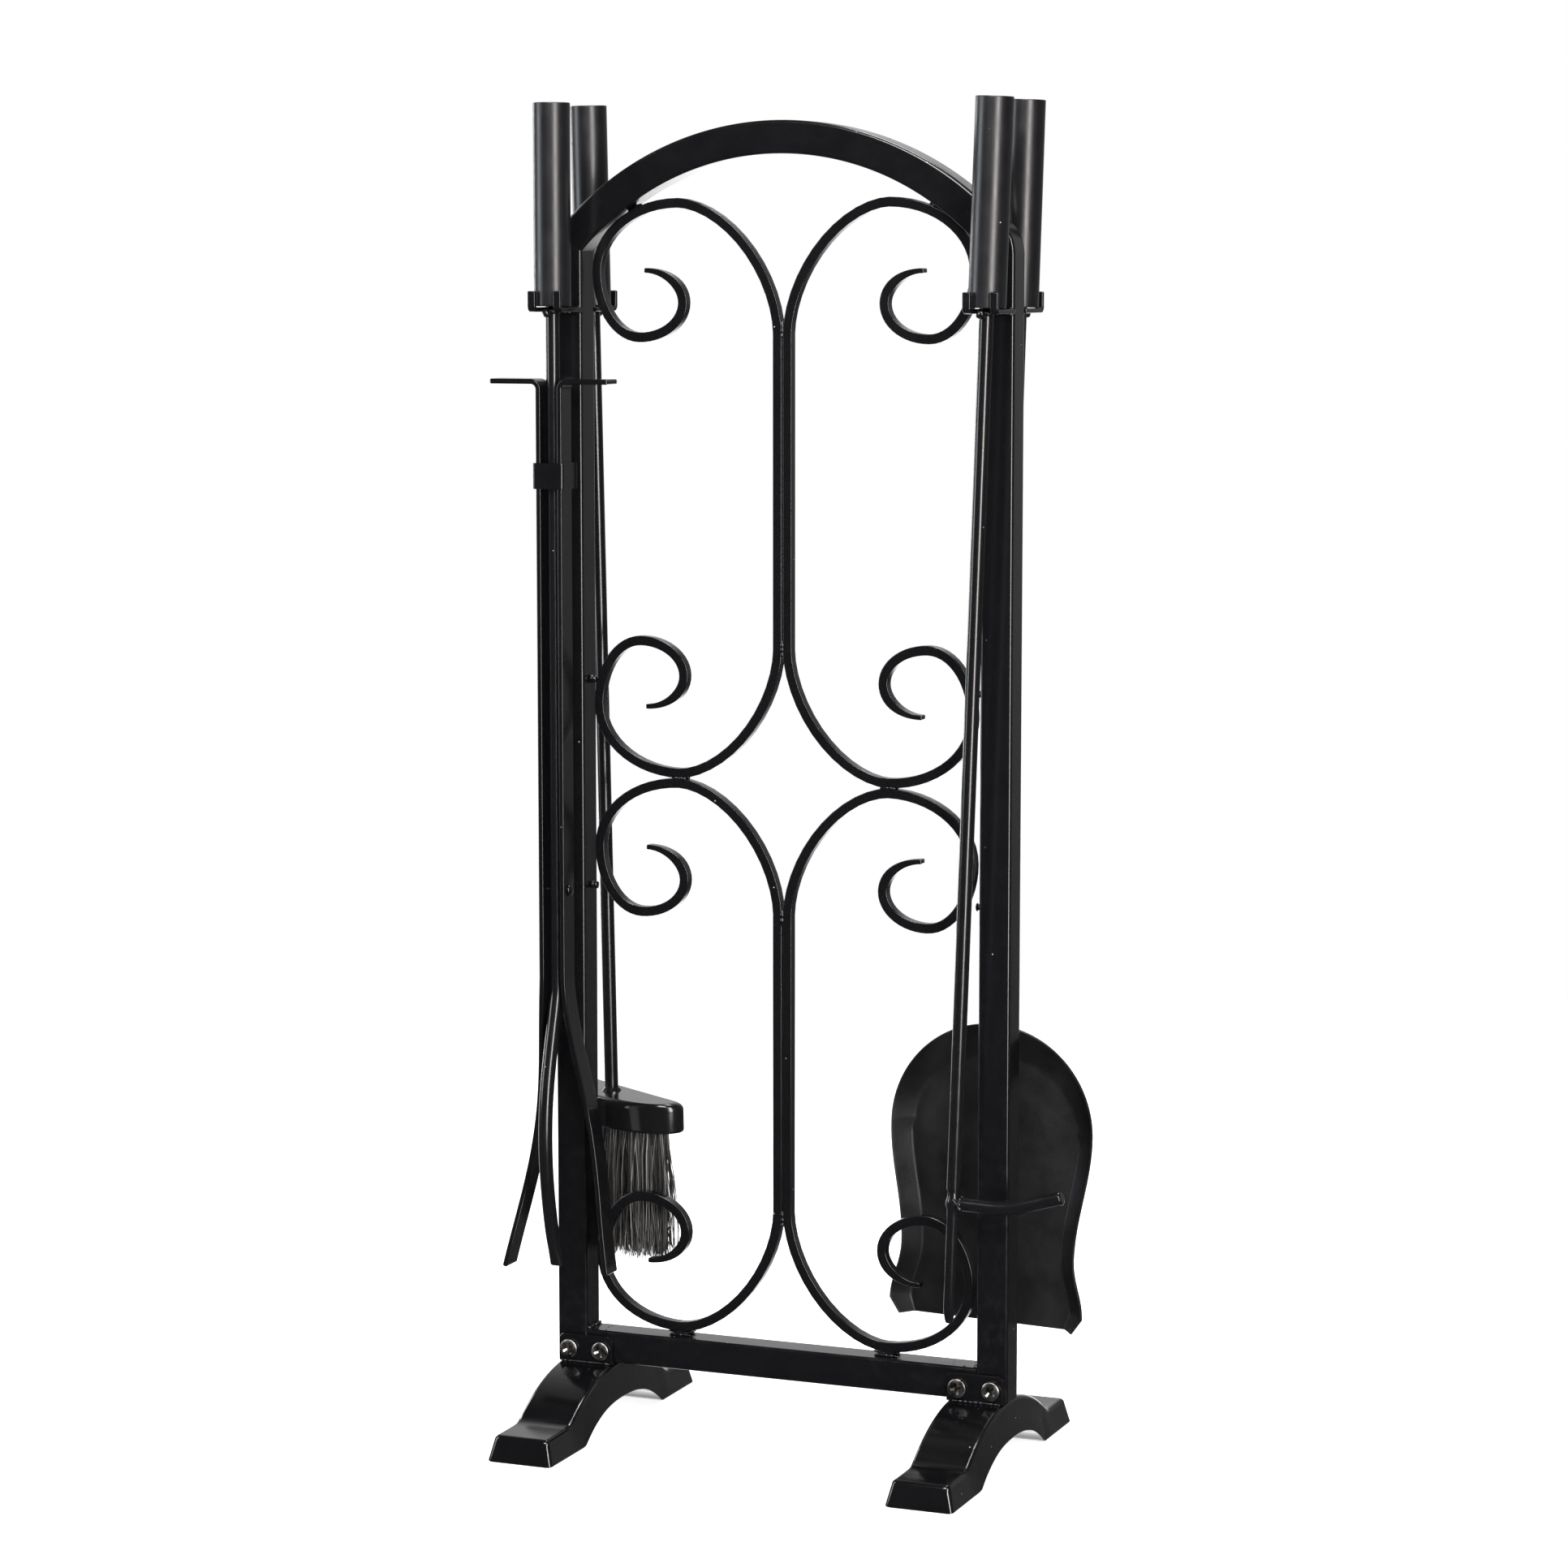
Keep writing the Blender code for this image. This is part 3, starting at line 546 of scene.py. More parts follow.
bar = [(Vector((x, 0, BAR_LOW)), Vector((x, 0, BAR_LOW + TUBE))) for x in (-reach, 0, reach)]
piece("bar_tube", tube(bar), gloss, "stand", ["bottom_bar"])
print("tube corners", 1000 * TUBE_CORNER, "mm, arch in", len(mitres) - 1, "steps")

# %% [markdown]
# ## The scrolls
#
# Four strips of 6 mm bar are bent cold round a former, so each is one smooth line: a straight
# stem in the middle, a wide loop, and a curl that tightens to a forged point. The line is a
# chain of quarter ellipses. Where two of them meet their tangents agree, so no kink shows.

# %% Scrolls and spacers
SCROLL_THICK, SCROLL_DEEP, SCROLL_CORNER = 5.6 * MM, 6.2 * MM, 0.6 * MM
CURL = ((3.1, 74), (65, 0), (116, 39), (89, 77), (62, 57), (86, 38.5))
LOOP_SHAPE = 1.74
TIP_LENGTH = 26 * MM


def curl_line(end_z, way, steps=13):
    stops = [(x * MM, end_z + way * rise * MM) for x, rise in CURL]
    points = []
    for i, ((x0, z0), (x1, z1)) in enumerate(zip(stops, stops[1:])):
        for step in range(steps + 1):
            turn = math.pi / 2 * step / steps
            power = 2 / LOOP_SHAPE if i == 0 else 1
            near, far = max(math.cos(turn), 0.0) ** power, math.sin(turn) ** power
            if i % 2 == 0:
                x, z = x1 + (x0 - x1) * near, z0 + (z1 - z0) * far
            else:
                x, z = x0 + (x1 - x0) * far, z1 + (z0 - z1) * near
            if step or not i:
                points.append(Vector((x, 0, z)))
    return points


def scroll(side, low, high):
    half = SCROLL_THICK / 2
    line = curl_line(low + half, 1)[::-1] + curl_line(high - half, -1)
    line = [Vector((point.x * side, 0, point.z)) for point in line]
    length = [0.0]
    for here, there in zip(line, line[1:]):
        length.append(length[-1] + (there - here).length)
    sizes = []
    for at in length:
        share = min(at, length[-1] - at, TIP_LENGTH) / TIP_LENGTH
        sizes.append((SCROLL_THICK * (0.5 + 0.5 * smooth(share)), SCROLL_DEEP, SCROLL_CORNER))
    return flat_bar(line, DEEP, sizes, 0.9 * MM)


SCROLL_TIERS = (("upper", 391.1, 726.6), ("lower", 60.6, 390.9))
for side, word in SIDES:
    for tier, low, high in SCROLL_TIERS:
        shape, name = scroll(side, low * MM, high * MM), f"{tier}_scroll_{word}"
        piece(f"{tier}_scroll_bar_{word}", shape, gloss, "stand", [name])
    at = [Vector((side * 65 * MM, 0, z * MM)) for z in (58, 60.8)]
    block = flat_bar(at, DEEP, [(16 * MM, SCROLL_DEEP, 1 * MM)] * 2, 0.3 * MM)
    piece(f"scroll_pad_{word}", block, gloss, "stand", [f"scroll_spacer_{word}"])
print("each curl runs through", len(curl_line(0, 1)), "points")

# %% [markdown]
# ## The cast feet
#
# Each foot is a casting: two flat pads and a bridge that rises between them like a saddle. Its
# top edges are rounded to about 2.8 mm, its end faces lean back so that the casting leaves the
# mould, and its sides widen a little towards the floor.

# %% Feet
FOOT_X, FOOT_HALF = 123 * MM, 105 * MM
FOOT_TOP, PAD_TOP, CROWN_RADIUS = 38.7 * MM, 15 * MM, 117 * MM
FOOT_EDGE, FOOT_LEAN = 2.8 * MM, 3 * MM
BRIDGE_HALF, BRIDGE_RISE = 56 * MM, 17 * MM


def foot_section(y, inset=0.0, end=0):
    """One ring of a foot. An end ring leans, and its inset rounds it off."""
    reach = abs(y)
    crown = FOOT_TOP - 0.1 * MM - CROWN_RADIUS + math.sqrt(CROWN_RADIUS**2 - reach**2)
    blend = 2.4 * MM
    top = 0.5 * (crown + PAD_TOP + math.sqrt((crown - PAD_TOP) ** 2 + blend**2))
    top = min(top, FOOT_TOP) - inset
    under = BRIDGE_RISE * max(0.0, 1 - (reach / BRIDGE_HALF) ** 2.5)
    upper = 17.6 * MM - inset
    lower = min(20.5 * MM, 17.6 * MM + 0.25 * (top - under)) - inset
    toe = 0.7 * MM
    half = [(lower - toe, under), (lower - 0.2 * MM, under + 0.25 * MM), (lower, under + toe)]
    tall = top - FOOT_EDGE - under - toe
    half += [(lower + (upper - lower) * s, under + toe + tall * s) for s in (0.35, 0.7)]
    half += arc((upper - FOOT_EDGE, top - FOOT_EDGE), FOOT_EDGE, 0, 90, 6)
    ring = []
    for mirror, points in ((1, half), (-1, half[::-1])):
        for x, z in points:
            ring.append(Vector((mirror * x, y - end * FOOT_LEAN * z / PAD_TOP, z)))
    return ring


def foot():
    steps, inner = 96, FOOT_HALF - FOOT_EDGE - FOOT_LEAN - 0.6 * MM
    ends = []
    for step in range(6):
        angle = math.pi / 2 * step / 5
        ends.append((FOOT_HALF - FOOT_EDGE * (1 - math.cos(angle)), FOOT_EDGE * (1 - math.sin(angle))))
    rings = [foot_section(-y, inset, -1) for y, inset in ends]
    rings += [foot_section(inner * (2 * i / steps - 1)) for i in range(steps + 1)]
    rings += [foot_section(y, inset, 1) for y, inset in ends[::-1]]
    return loft(rings)


for side, word in SIDES:
    move = Matrix.Translation((side * FOOT_X, 0, 0))
    piece(f"foot_casting_{word}", foot(), cast, "stand", [f"foot_{word}"], move)
print("a foot is", 2000 * FOOT_HALF, "mm long")

# %% [markdown]
# ## Brackets and screws
#
# A small plate on each foot carries two pan-head screws that hold the stand to it. The heads
# have a cross recess: two tapered bars, cut out of a dome. Cutting it takes one boolean, and
# it gives the crisp little shadow that a painted-on cross would not.

# %% Brackets and foot screws
PLATE_HALF, PLATE_LOW, PLATE_TOP, PLATE = 17.3 * MM, 38.6 * MM, 55.2 * MM, 2.4 * MM
PLATE_BACK = -TUBE / 2 - 0.3 * MM
SCREW_HEIGHT, SCREW_SPREAD, SCREW_HEAD = 46.4 * MM, 10.25 * MM, 5.6 * MM


def bracket():
    rings = []
    for depth, inset in ((0, 0), (1.5, 0), (1.95, 0.12), (2.25, 0.35), (2.4, 0.75)):
        half, corner, cut = PLATE_HALF - inset * MM, (4 - inset) * MM, inset * MM
        outline = [(-half, PLATE_LOW), (half, PLATE_LOW)]
        outline += arc((half - corner, PLATE_TOP - cut - corner), corner, 0, 90, 8)
        outline += arc((corner - half, PLATE_TOP - cut - corner), corner, 90, 180, 8)
        rings.append([Vector((x, PLATE_BACK - depth * MM, z)) for x, z in outline])
    return loft(rings)


def pan_screw(turn):
    """A screw along +Z with its head's seat at 12.5 mm, and a cross recess in the head."""
    seat, shank, head = TUBE / 2 + PLATE + 0.6 * MM, 2.4 * MM, SCREW_HEAD
    rise, skirt = 2.3 * MM, 1.2 * MM
    profile = [(shank * 0.6, -1 * MM), (shank, 0.2 * MM), (shank, seat), (head - 0.2 * MM, seat)]
    profile += [(head, seat + 0.25 * MM), (head, seat + skirt)]
    for step in range(1, 14):
        angle = math.pi / 2 * step / 14
        profile.append((head * math.cos(angle) ** 0.5, seat + skirt + (rise - skirt) * math.sin(angle)))
    cross = None
    for quarter in range(2):
        rings = []
        for z, half, wide in ((seat + 0.4 * MM, 1.5, 0.45), (seat + rise + 0.6 * MM, 4.4, 0.85)):
            corners = ((-half, -wide), (half, -wide), (half, wide), (-half, wide))
            spin = Matrix.Rotation(math.radians(90 * quarter + turn), 3, "Z")
            rings.append([spin @ Vector((x * MM, y * MM, 0)) + UP * z for x, y in corners])
        arm = loft(rings)
        cross = carved(cross, arm, "UNION") if quarter else arm
    return carved(turned(profile, 48), cross)


for side, word in SIDES:
    move = Matrix.Translation((side * FOOT_X, 0, 0))
    piece(f"bracket_plate_{word}", bracket(), gloss, "stand", [f"foot_bracket_{word}"], move)
    for way, which in ((1, "outer"), (-1, "inner")):
        seat = Matrix.Translation((side * (FOOT_X + way * SCREW_SPREAD), 0, SCREW_HEIGHT))
        lie = Matrix.Rotation(math.radians(90), 4, "X")
        name = f"pan_screw_{which}_{word}"
        shape = pan_screw(dice.uniform(10, 70))
        piece(name, shape, nickel, "stand", [f"foot_screw_{which}_{word}"], seat @ lie, 40)
        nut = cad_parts[f"insert_nut_{which}_{word}"]
        for place in nut.material_slots:
            place.material = zinc
print("screw heads", 2000 * SCREW_HEAD, "mm across")

# %% [markdown]
# ## The forks
#
# Each tool hangs in a fork: a strip bent up at its end, with a slot that the rod drops into.
# The handle's lower edge sits on the strip behind the two upturned tips. The strip is swept,
# slotted with one cut, and then every hard edge is broken with a small bevel.

# %% Forks
FORK_PLATE, FORK_WIDE, FORK_SLOT = 2.7 * MM, 21 * MM, 5.65 * MM
FORK_REACH, FORK_TIP, FORK_TOP = 40.2 * MM, 9.3 * MM, 664.2 * MM


def fork():
    middle, bend = -FORK_PLATE / 2, 2.2 * MM
    tip = -FORK_REACH + FORK_PLATE / 2
    line = [(-TUBE / 2, middle)]
    line += arc((tip + bend, middle + bend), bend, 270, 180, 10) + [(tip, FORK_TIP)]
    path = [Vector((0, y, z)) for y, z in line]
    half, wide = FORK_PLATE / 2, FORK_WIDE / 2
    section = [(-half, -wide), (half, -wide), (half, wide), (-half, wide)]
    outline = arc((0, -HANG_Y + FORK_SLOT / 2), FORK_SLOT, 0, 180, 24)
    outline += [(-FORK_SLOT, -2 * FORK_REACH), (FORK_SLOT, -2 * FORK_REACH)]
    slot = loft([[Vector((x, y, z)) for x, y in outline] for z in (-10 * MM, 20 * MM)])
    return softened(carved(swept(path, ACROSS, [section] * len(path)), slot), 0.75 * MM, 3)


for side, word in SIDES:
    for end, where in ((FRONT, "front"), (REAR, "rear")):
        turn = Matrix.Rotation(0 if end == FRONT else math.pi, 4, "Z")
        seat = Matrix.Translation((side * HANG_X, 0, FORK_TOP)) @ turn
        name = f"fork_{where}_{word}"
        piece(f"hook_{name}", fork(), gloss, "stand", [name], seat)
print("fork slots", 2000 * FORK_SLOT, "mm wide for rods of", 2000 * ROD, "mm")

# %% [markdown]
# ## Welds
#
# A set like this is held together by short welds, painted over. A weld bead is a row of
# overlapping puddles, so here it is a thin sweep whose radius ripples along its length, and
# spatter is a few low pimples beside it. They are small, but the eye misses them if they go.


# %% Weld beads and spatter
def bead(shape, start, end, radius, flat=1.0):
    """A rippled bead from start to end, added to the shape."""
    start, end = Vector(start), Vector(end)
    way = end - start
    count = max(int(way.length / (0.42 * MM)), 8)
    side = way.cross(UP if abs(way.normalized().z) < 0.9 else ACROSS).normalized()
    lift = way.cross(side).normalized()
    rings, offset = [], dice.uniform(0, 60)
    for i in range(count + 1):
        share = i / count
        cap = math.sqrt(max(1 - abs(2 * share - 1) ** 5, 0.004))
        puddle = math.sin(share * way.length / (0.5 * MM))
        ripple = 1 + 0.11 * puddle + 0.3 * noise.noise(Vector((share * 5, offset, 0)))
        size = radius * cap * ripple
        sway = 0.25 * radius * noise.noise(Vector((share * 4, offset + 9, 3)))
        middle = start + way * share + side * sway
        rings.append([middle + side * a + lift * b * flat for a, b in round_section(size, None, 12)])
    return loft(rings, shape=shape)


def pimple(shape, centre, radius, squash=1.0):
    """A lumpy drop of metal, added to the shape."""
    grown = bmesh.ops.create_icosphere(shape, subdivisions=3, radius=1.0)
    offset = Vector((dice.uniform(0, 50), 0, 0))
    for vert in grown["verts"]:
        way = vert.co.copy()
        size = radius * (1 + 0.28 * noise.noise(way * 1.3 + offset))
        vert.co = Vector(centre) + Vector((way.x * size, way.y * size, way.z * size * squash))
    return shape


welds = bmesh.new()


def across_bead(start, end, y, z, radius):
    """A bead on the stand from one x to another, all in millimetres."""
    bead(welds, (start * MM, y * MM, z * MM), (end * MM, y * MM, z * MM), radius * MM)


for z in (652, 469, 312, 134):
    for end in (FRONT, REAR):
        bead(welds, (0, end * 2.5 * MM, (z - 5) * MM), (0, end * 2.5 * MM, (z + 5) * MM), 1.25 * MM)
for side, word in SIDES:
    for end in (FRONT, REAR):
        across_bead(side * 60, side * 70, end * 2.3, 391, 1.2)
        across_bead(side * 58, side * 72, end * 3.0, 58.6, 0.9)
        at = side * 122.3 * MM
        bead(welds, (at, end * 1 * MM, 58.6 * MM), (at, end * 9 * MM, 58.6 * MM), 1.2 * MM)
        at = side * HANG_X / MM
        across_bead(at - 9.5, at + 9.5, end * 9.9, 661.2, 1.3)
        across_bead(at - 9, at + 9, end * 9.9, 664.5, 0.8)
    for z in (447, 325):
        across_bead(side * 118, side * 123.4, 0, z, 2.2)
    bead(welds, (side * 88 * MM, 0, 722.6 * MM), (side * 97 * MM, 0, 718.6 * MM), 1.9 * MM)
    x = side * FOOT_X
    across_bead(x / MM - 16, x / MM + 16, -12.2, 38.5, 1.1)
    across_bead(x / MM - 15, x / MM + 12, 9.8, 38.9, 1.1)
    for _ in range(7):
        y = dice.uniform(-36, -18) * MM
        z = FOOT_TOP - CROWN_RADIUS + math.sqrt(CROWN_RADIUS**2 - y * y)
        pimple(welds, (x + dice.uniform(-13, 13) * MM, y, z - 0.1 * MM), dice.uniform(0.4, 0.95) * MM, 0.6)
    for _ in range(4):
        spot = (side * dice.uniform(104, 120) * MM, dice.uniform(-7, 7) * MM, 58 * MM)
        pimple(welds, spot, dice.uniform(0.3, 0.7) * MM, 0.6)
piece("stand_welds", welds, gloss, "stand", crease=60)
print("stand made:", len(made), "pieces")

# %% [markdown]
# ## Handles and rods
#
# All four tools share one handle: a tube that is painted satin, closed at the top with a
# pressed cap and at the bottom with a plug that holds the rod. Each tool leans a little, as it
# settles with its weight under the fork, so each is drawn hanging straight down from its own
# origin and then turned as a whole.

# %% The common handle
HANDLE, HANDLE_WALL, HANDLE_LENGTH = 10.7 * MM, 1.2 * MM, 115.9 * MM
LEANS = {"tongs": (0, 0), "poker": (-22.6, 0), "brush": (8.6, 10.6), "shovel": (-18.6, -2.5)}
SEATS = {"tongs": (LEFT, FRONT), "poker": (RIGHT, FRONT), "brush": (LEFT, REAR), "shovel": (RIGHT, REAR)}
hangs = {}


def add_handle(tool):
    side, end = SEATS[tool]
    lean = Vector((LEANS[tool][0] * MM, LEANS[tool][1] * MM, -HANG_Z))
    turn = Vector((0, 0, -1)).rotation_difference(lean).to_matrix().to_4x4()
    hangs[tool] = hang = Matrix.Translation((side * HANG_X, end * HANG_Y, HANG_Z)) @ turn
    inside, edge = HANDLE - HANDLE_WALL, 0.55 * MM
    profile = [(inside, 0.25 * MM), (inside + 0.25 * MM, 0)]
    profile += arc((HANDLE - edge, edge), edge, 270, 360, 4)
    profile += [(HANDLE, HANDLE_LENGTH * share) for share in (0.25, 0.5, 0.75)]
    profile += arc((HANDLE - edge, HANDLE_LENGTH - edge), edge, 0, 90, 4)
    profile += [(inside + 0.25 * MM, HANDLE_LENGTH), (inside, HANDLE_LENGTH - 0.25 * MM)]
    shape = turned(profile, 96, closed=True)
    piece(f"{tool}_grip", shape, satin, tool, [f"{tool}_handle"], hang)
    fit, top = inside - 0.05 * MM, HANDLE_LENGTH - 0.4 * MM
    profile = [(0.3 * MM, top - 2.6 * MM), (fit, top - 2.6 * MM), (fit, top - 0.4 * MM)]
    profile += [(fit - 0.15 * MM, top - 0.1 * MM), (fit - 0.5 * MM, top), (fit - 1.4 * MM, top)]
    profile += [(fit - 1.7 * MM, top - 0.15 * MM), (0.3 * MM, top - 0.05 * MM)]
    piece(f"{tool}_top_cap", turned(profile, 64), satin, tool, [f"{tool}_handle_cap"], hang)
    bore = ROD + 0.05 * MM
    profile = [(bore, 0.5 * MM), (bore + 0.4 * MM, 0.3 * MM), (fit - 0.4 * MM, 0.3 * MM)]
    profile += [(fit, 0.6 * MM), (fit, 3 * MM), (bore, 3 * MM)]
    shape = turned(profile, 64, closed=True)
    piece(f"{tool}_base_plug", shape, satin, tool, [f"{tool}_handle_plug"], hang)
    drop = bmesh.new()
    pimple(drop, (-1.2 * MM, -ROD - 1.6 * MM, -3.4 * MM), 2.9 * MM)
    pimple(drop, (1.7 * MM, -ROD - 0.4 * MM, -2.6 * MM), 2.2 * MM)
    bead(drop, (-4.4 * MM, -1.5 * MM, -1.4 * MM), (4.4 * MM, -1.5 * MM, -1.4 * MM), 1.3 * MM)
    spin = Matrix.Rotation(0 if end == FRONT else math.pi, 4, "Z")
    piece(f"{tool}_rod_weld", drop, gloss, tool, (), hang @ spin, 60)


for tool in SEATS:
    add_handle(tool)
    print(tool, "hangs from", [round(1000 * v, 1) for v in hangs[tool].translation])


def down(pairs):
    """Pairs (y, distance below the fork) in millimetres as a path in a tool's own space."""
    return [Vector((0, y * MM, -drop * MM)) for y, drop in pairs]


# %% [markdown]
# ## The tongs
#
# The tongs are a rod with two flat arms. Each arm starts as a finger tab, runs down beside the
# rod to a rivet, and then spreads and bows backwards; the rod itself bows forwards as the
# third prong. A bent strap keeps the arms from flapping. The arms, strap and rivet ride on
# the body that the hinge turns.

# %% Tongs
PIVOT, ARM_X, ARM_THICK, ARM_WIDE, JAW_LENGTH = 339.7, 6.7, 3.0, 14.5, 176


def tongs_arm(side):
    line = [(37.5, PIVOT - 43.1, 0), (24, PIVOT - 43.1, 0)]
    line += [(x, z, 0) for x, z in arc((ARM_X + 4.5, PIVOT - 47.6), 4.5, 90, 180, 9)]
    line += [(ARM_X, z, 0) for z in (200, 100, 0, -20, -41.3)]
    steps = 40
    for i in range(steps + 1):
        share = i / steps
        run = share * JAW_LENGTH
        bow = 14 * math.sin(math.pi * run / 193) ** 2
        line.append((ARM_X + 26.2 * share**1.4, -51.3 - run, bow))
    path = [Vector((side * x * MM, y * MM, z * MM)) for x, z, y in line]
    return flat_bar(path, DEEP, [(ARM_THICK * MM, ARM_WIDE * MM, 0.7 * MM)] * len(path), 1.2 * MM)


def strap():
    reach, front, rear, bend = 8.65 + 0.5, -8.2, 7.25, 1.2
    line = [(-reach - 1.5, rear + 1.5), (-reach - 0.4, rear), (-reach, rear - 1.5)]
    line += arc((bend - reach, front + bend), bend, 180, 270, 5)
    line += arc((reach - bend, front + bend), bend, 270, 360, 5)
    line += [(reach, rear - 1.5), (reach + 0.4, rear), (reach + 1.5, rear + 1.5)]
    path = [Vector((x * MM, y * MM, (PIVOT - 97.5) * MM)) for x, y in line]
    return flat_bar(path, UP, [(1.3 * MM, 15 * MM, 0.4 * MM)] * len(path), 0.5 * MM)


def rivet(reach, shank, head, rise, sides=32):
    """A rivet along Z with a domed head at each end."""
    dome = []
    for i in range(7):
        turn = math.pi / 2 * i / 7
        dome.append((head * math.cos(turn), reach + 0.25 * MM + rise * math.sin(turn)))
    half = [(shank, reach), (head * 0.94, reach)] + dome
    return turned([(r, -z) for r, z in half[::-1]] + half, sides)


hang = hangs["tongs"]
line, steps = [(0, -34), (0, 120), (0, 250), (0, PIVOT), (0, 385)], 36
for i in range(steps + 1):
    swell = smooth(2.2 * i / steps + 0.02) ** 0.12
    line.append((-17.5 * math.sin(math.pi * 0.95 * i / steps) * swell, 399 + 165 * i / steps))
flats = [ROD * (1 - 0.7 * smooth((i - len(line) + 6) / 5)) for i in range(len(line))]
shape = round_bar(down(line), ACROSS, [(flat, ROD) for flat in flats], 0.8 * MM)
piece("tongs_shaft", shape, rods, "tongs", ["tongs_rod"], hang)
jaws = hang @ Matrix.Translation((0, 0, -PIVOT * MM))
for side, word in SIDES:
    shape, name = tongs_arm(side), f"tongs_arm_{word}"
    piece(f"tongs_jaw_{word}", shape, gloss, "tongs_jaws", [name], jaws)
lie = Matrix.Rotation(math.radians(90), 4, "Y")
shape = rivet(8.5 * MM, 1.6 * MM, 3.4 * MM, 1.45 * MM)
piece("tongs_pin", shape, gloss, "tongs_jaws", ["tongs_rivet"], jaws @ lie)
piece("tongs_clip", strap(), gloss, "tongs_jaws", ["tongs_strap"], jaws)
print("the tongs' pivot is at", [round(1000 * v, 1) for v in jaws.translation])

# %% [markdown]
# ## The poker
#
# The poker's shaft ends in a shoulder, and a slimmer point carries on below it. A bent side
# hook is welded to the point, with the lumps of that weld still to be seen round its root.

# %% Poker
hang = hangs["poker"]
shoulder = [(0.7, -499.5), (0.92, -499.2), (1, -498.4), (1, -300), (1, 33.4), (0.8, 34)]
profile = [(share * ROD, z * MM) for share, z in shoulder]
piece("poker_shaft", turned(profile, 40), rods, "poker", ["poker_rod"], hang)
POINT_RADIUS, HOOK_DROP, HOOK_REACH = 3.45 * MM, 506.8, 65
POINT_RINGS = (  # how far down, and how deep and wide beside the plain point
    (499.4, 0.8, 0.8), (499.9, 0.97, 0.97), (501, 1, 1), (503, 1.02, 1.02), (505, 1.22, 1.22),
    (HOOK_DROP, 1.3, 1.3), (508.6, 1.22, 1.22), (510.6, 1.02, 1.02), (513, 1, 1), (535, 1, 1),
    (553, 1, 1), (560, 0.97, 1.01), (567, 0.84, 1.03), (571, 0.66, 0.95), (574.5, 0.42, 0.78),
    (576.4, 0.26, 0.6), (577, 0.14, 0.45),
)
section = round_section(POINT_RADIUS, None, 40)
rings = []
for drop, deep, wide in POINT_RINGS:
    rings.append([Vector((a * wide, b * deep, -drop * MM)) for a, b in section])
piece("poker_point", loft(rings), rods, "poker", ["poker_tip"], hang)
line = [(x, HOOK_DROP) for x in (3.4, 12, 22)]
for i in range(1, 15):
    t = i / 14
    out = (1 - t) ** 2 * 22 + 2 * t * (1 - t) * 33.5 + t * t * 45
    line.append((out, (1 - t * t) * HOOK_DROP + t * t * 502.97))
line += [(55, 499.63), (HOOK_REACH, 496.3)]
path = [Vector((x * MM, 0, -drop * MM)) for x, drop in line]
shape = round_bar(path, DEEP, [ROD * 0.98] * len(path), 1.5 * MM)
piece("poker_side_hook", shape, rods, "poker", ["poker_hook"], hang)
lump = bmesh.new()
for turn in range(7):
    angle = math.tau * turn / 7 + 0.3
    y, z = 3.3 * MM * math.cos(angle), -HOOK_DROP * MM + 3.3 * MM * math.sin(angle)
    pimple(lump, (4.6 * MM, y, z), dice.uniform(1.1, 1.8) * MM)
bead(lump, (0.5 * MM, -3.6 * MM, -503.5 * MM), (4.6 * MM, -2.6 * MM, -509 * MM), 1.3 * MM)
bead(lump, (-3 * MM, -2 * MM, -499.6 * MM), (3 * MM, -2.2 * MM, -499.6 * MM), 1.0 * MM)
piece("poker_hook_weld", lump, rods, "poker", (), hang, 60)
print("the hook reaches", HOOK_REACH, "mm from the shaft")

# %% [markdown]
# ## The brush
#
# The brush head is a half-moon block with a soft top edge. Its bristles are individual fibres
# here: each is a thin tapering prism that starts in the block, bends a little in a direction
# of its own and ends at its own height, so the lower edge comes out ragged. Each fibre is
# darker towards the block, which is painted shade among the roots. A dark core behind them
# stops the light from leaking through the middle, and its colour, the darkest fibre tone, is
# painted shade deep in the tuft.

# %% Brush
hang, yaw = hangs["brush"], Matrix.Rotation(math.radians(-33), 4, "Z")
BLOCK_DROP, BLOCK_TALL, BRISTLE = 470 * MM, 18 * MM, 80 * MM
BLOCK_HALF, BLOCK_CORNER = 60.7 * MM, 7 * MM
BLOCK_BACK, BLOCK_FRONT = 15 * MM, 18.5 * MM
BLOCK_EDGE = 4.5  # how round the top edge is, in millimetres
FIBRE_HALF = 61 * MM  # half the length of the outline that the fibres keep to
BRISTLE_MARGIN = 2.5 * MM  # how far inside the block's outline every fibre stays


def moon(inset):
    """The block from above: straight back and round front."""
    half, corner = BLOCK_HALF - inset, BLOCK_CORNER
    back, front = BLOCK_BACK - inset, BLOCK_FRONT - inset
    outline = arc((half - corner, back - corner), corner, 0, 90, 8)
    outline += arc((corner - half, back - corner), corner, 90, 180, 8)
    waist = back - corner
    for i in range(1, 44):
        angle = math.pi * (1 + i / 44)
        outline.append((half * math.cos(angle), waist + (front + waist) * math.sin(angle)))
    return outline


def block():
    levels = [(1.6, -18), (0.7, -17.8), (0.2, -17.2), (0, -16.2), (0, -10)]
    for i in range(9):
        turn = math.pi / 2 * i / 8
        levels.append((BLOCK_EDGE * (1 - math.cos(turn)), -BLOCK_EDGE + BLOCK_EDGE * math.sin(turn)))
    rings = [[Vector((x, y, z * MM - BLOCK_DROP)) for x, y in moon(inset * MM)] for inset, z in levels]
    return loft(rings)


def inside(x, y, inset):
    """Whether a point is in the block's outline, drawn in by the inset."""
    half, corner = FIBRE_HALF - inset, BLOCK_CORNER
    back, front = BLOCK_BACK - inset, BLOCK_FRONT - inset
    waist = back - corner
    if abs(x) > half or y > back:
        return False
    if y > waist:
        return abs(x) < half - corner or math.hypot(abs(x) - half + corner, y - waist) < corner
    return (x / half) ** 2 + ((y - waist) / (front + waist)) ** 2 < 1


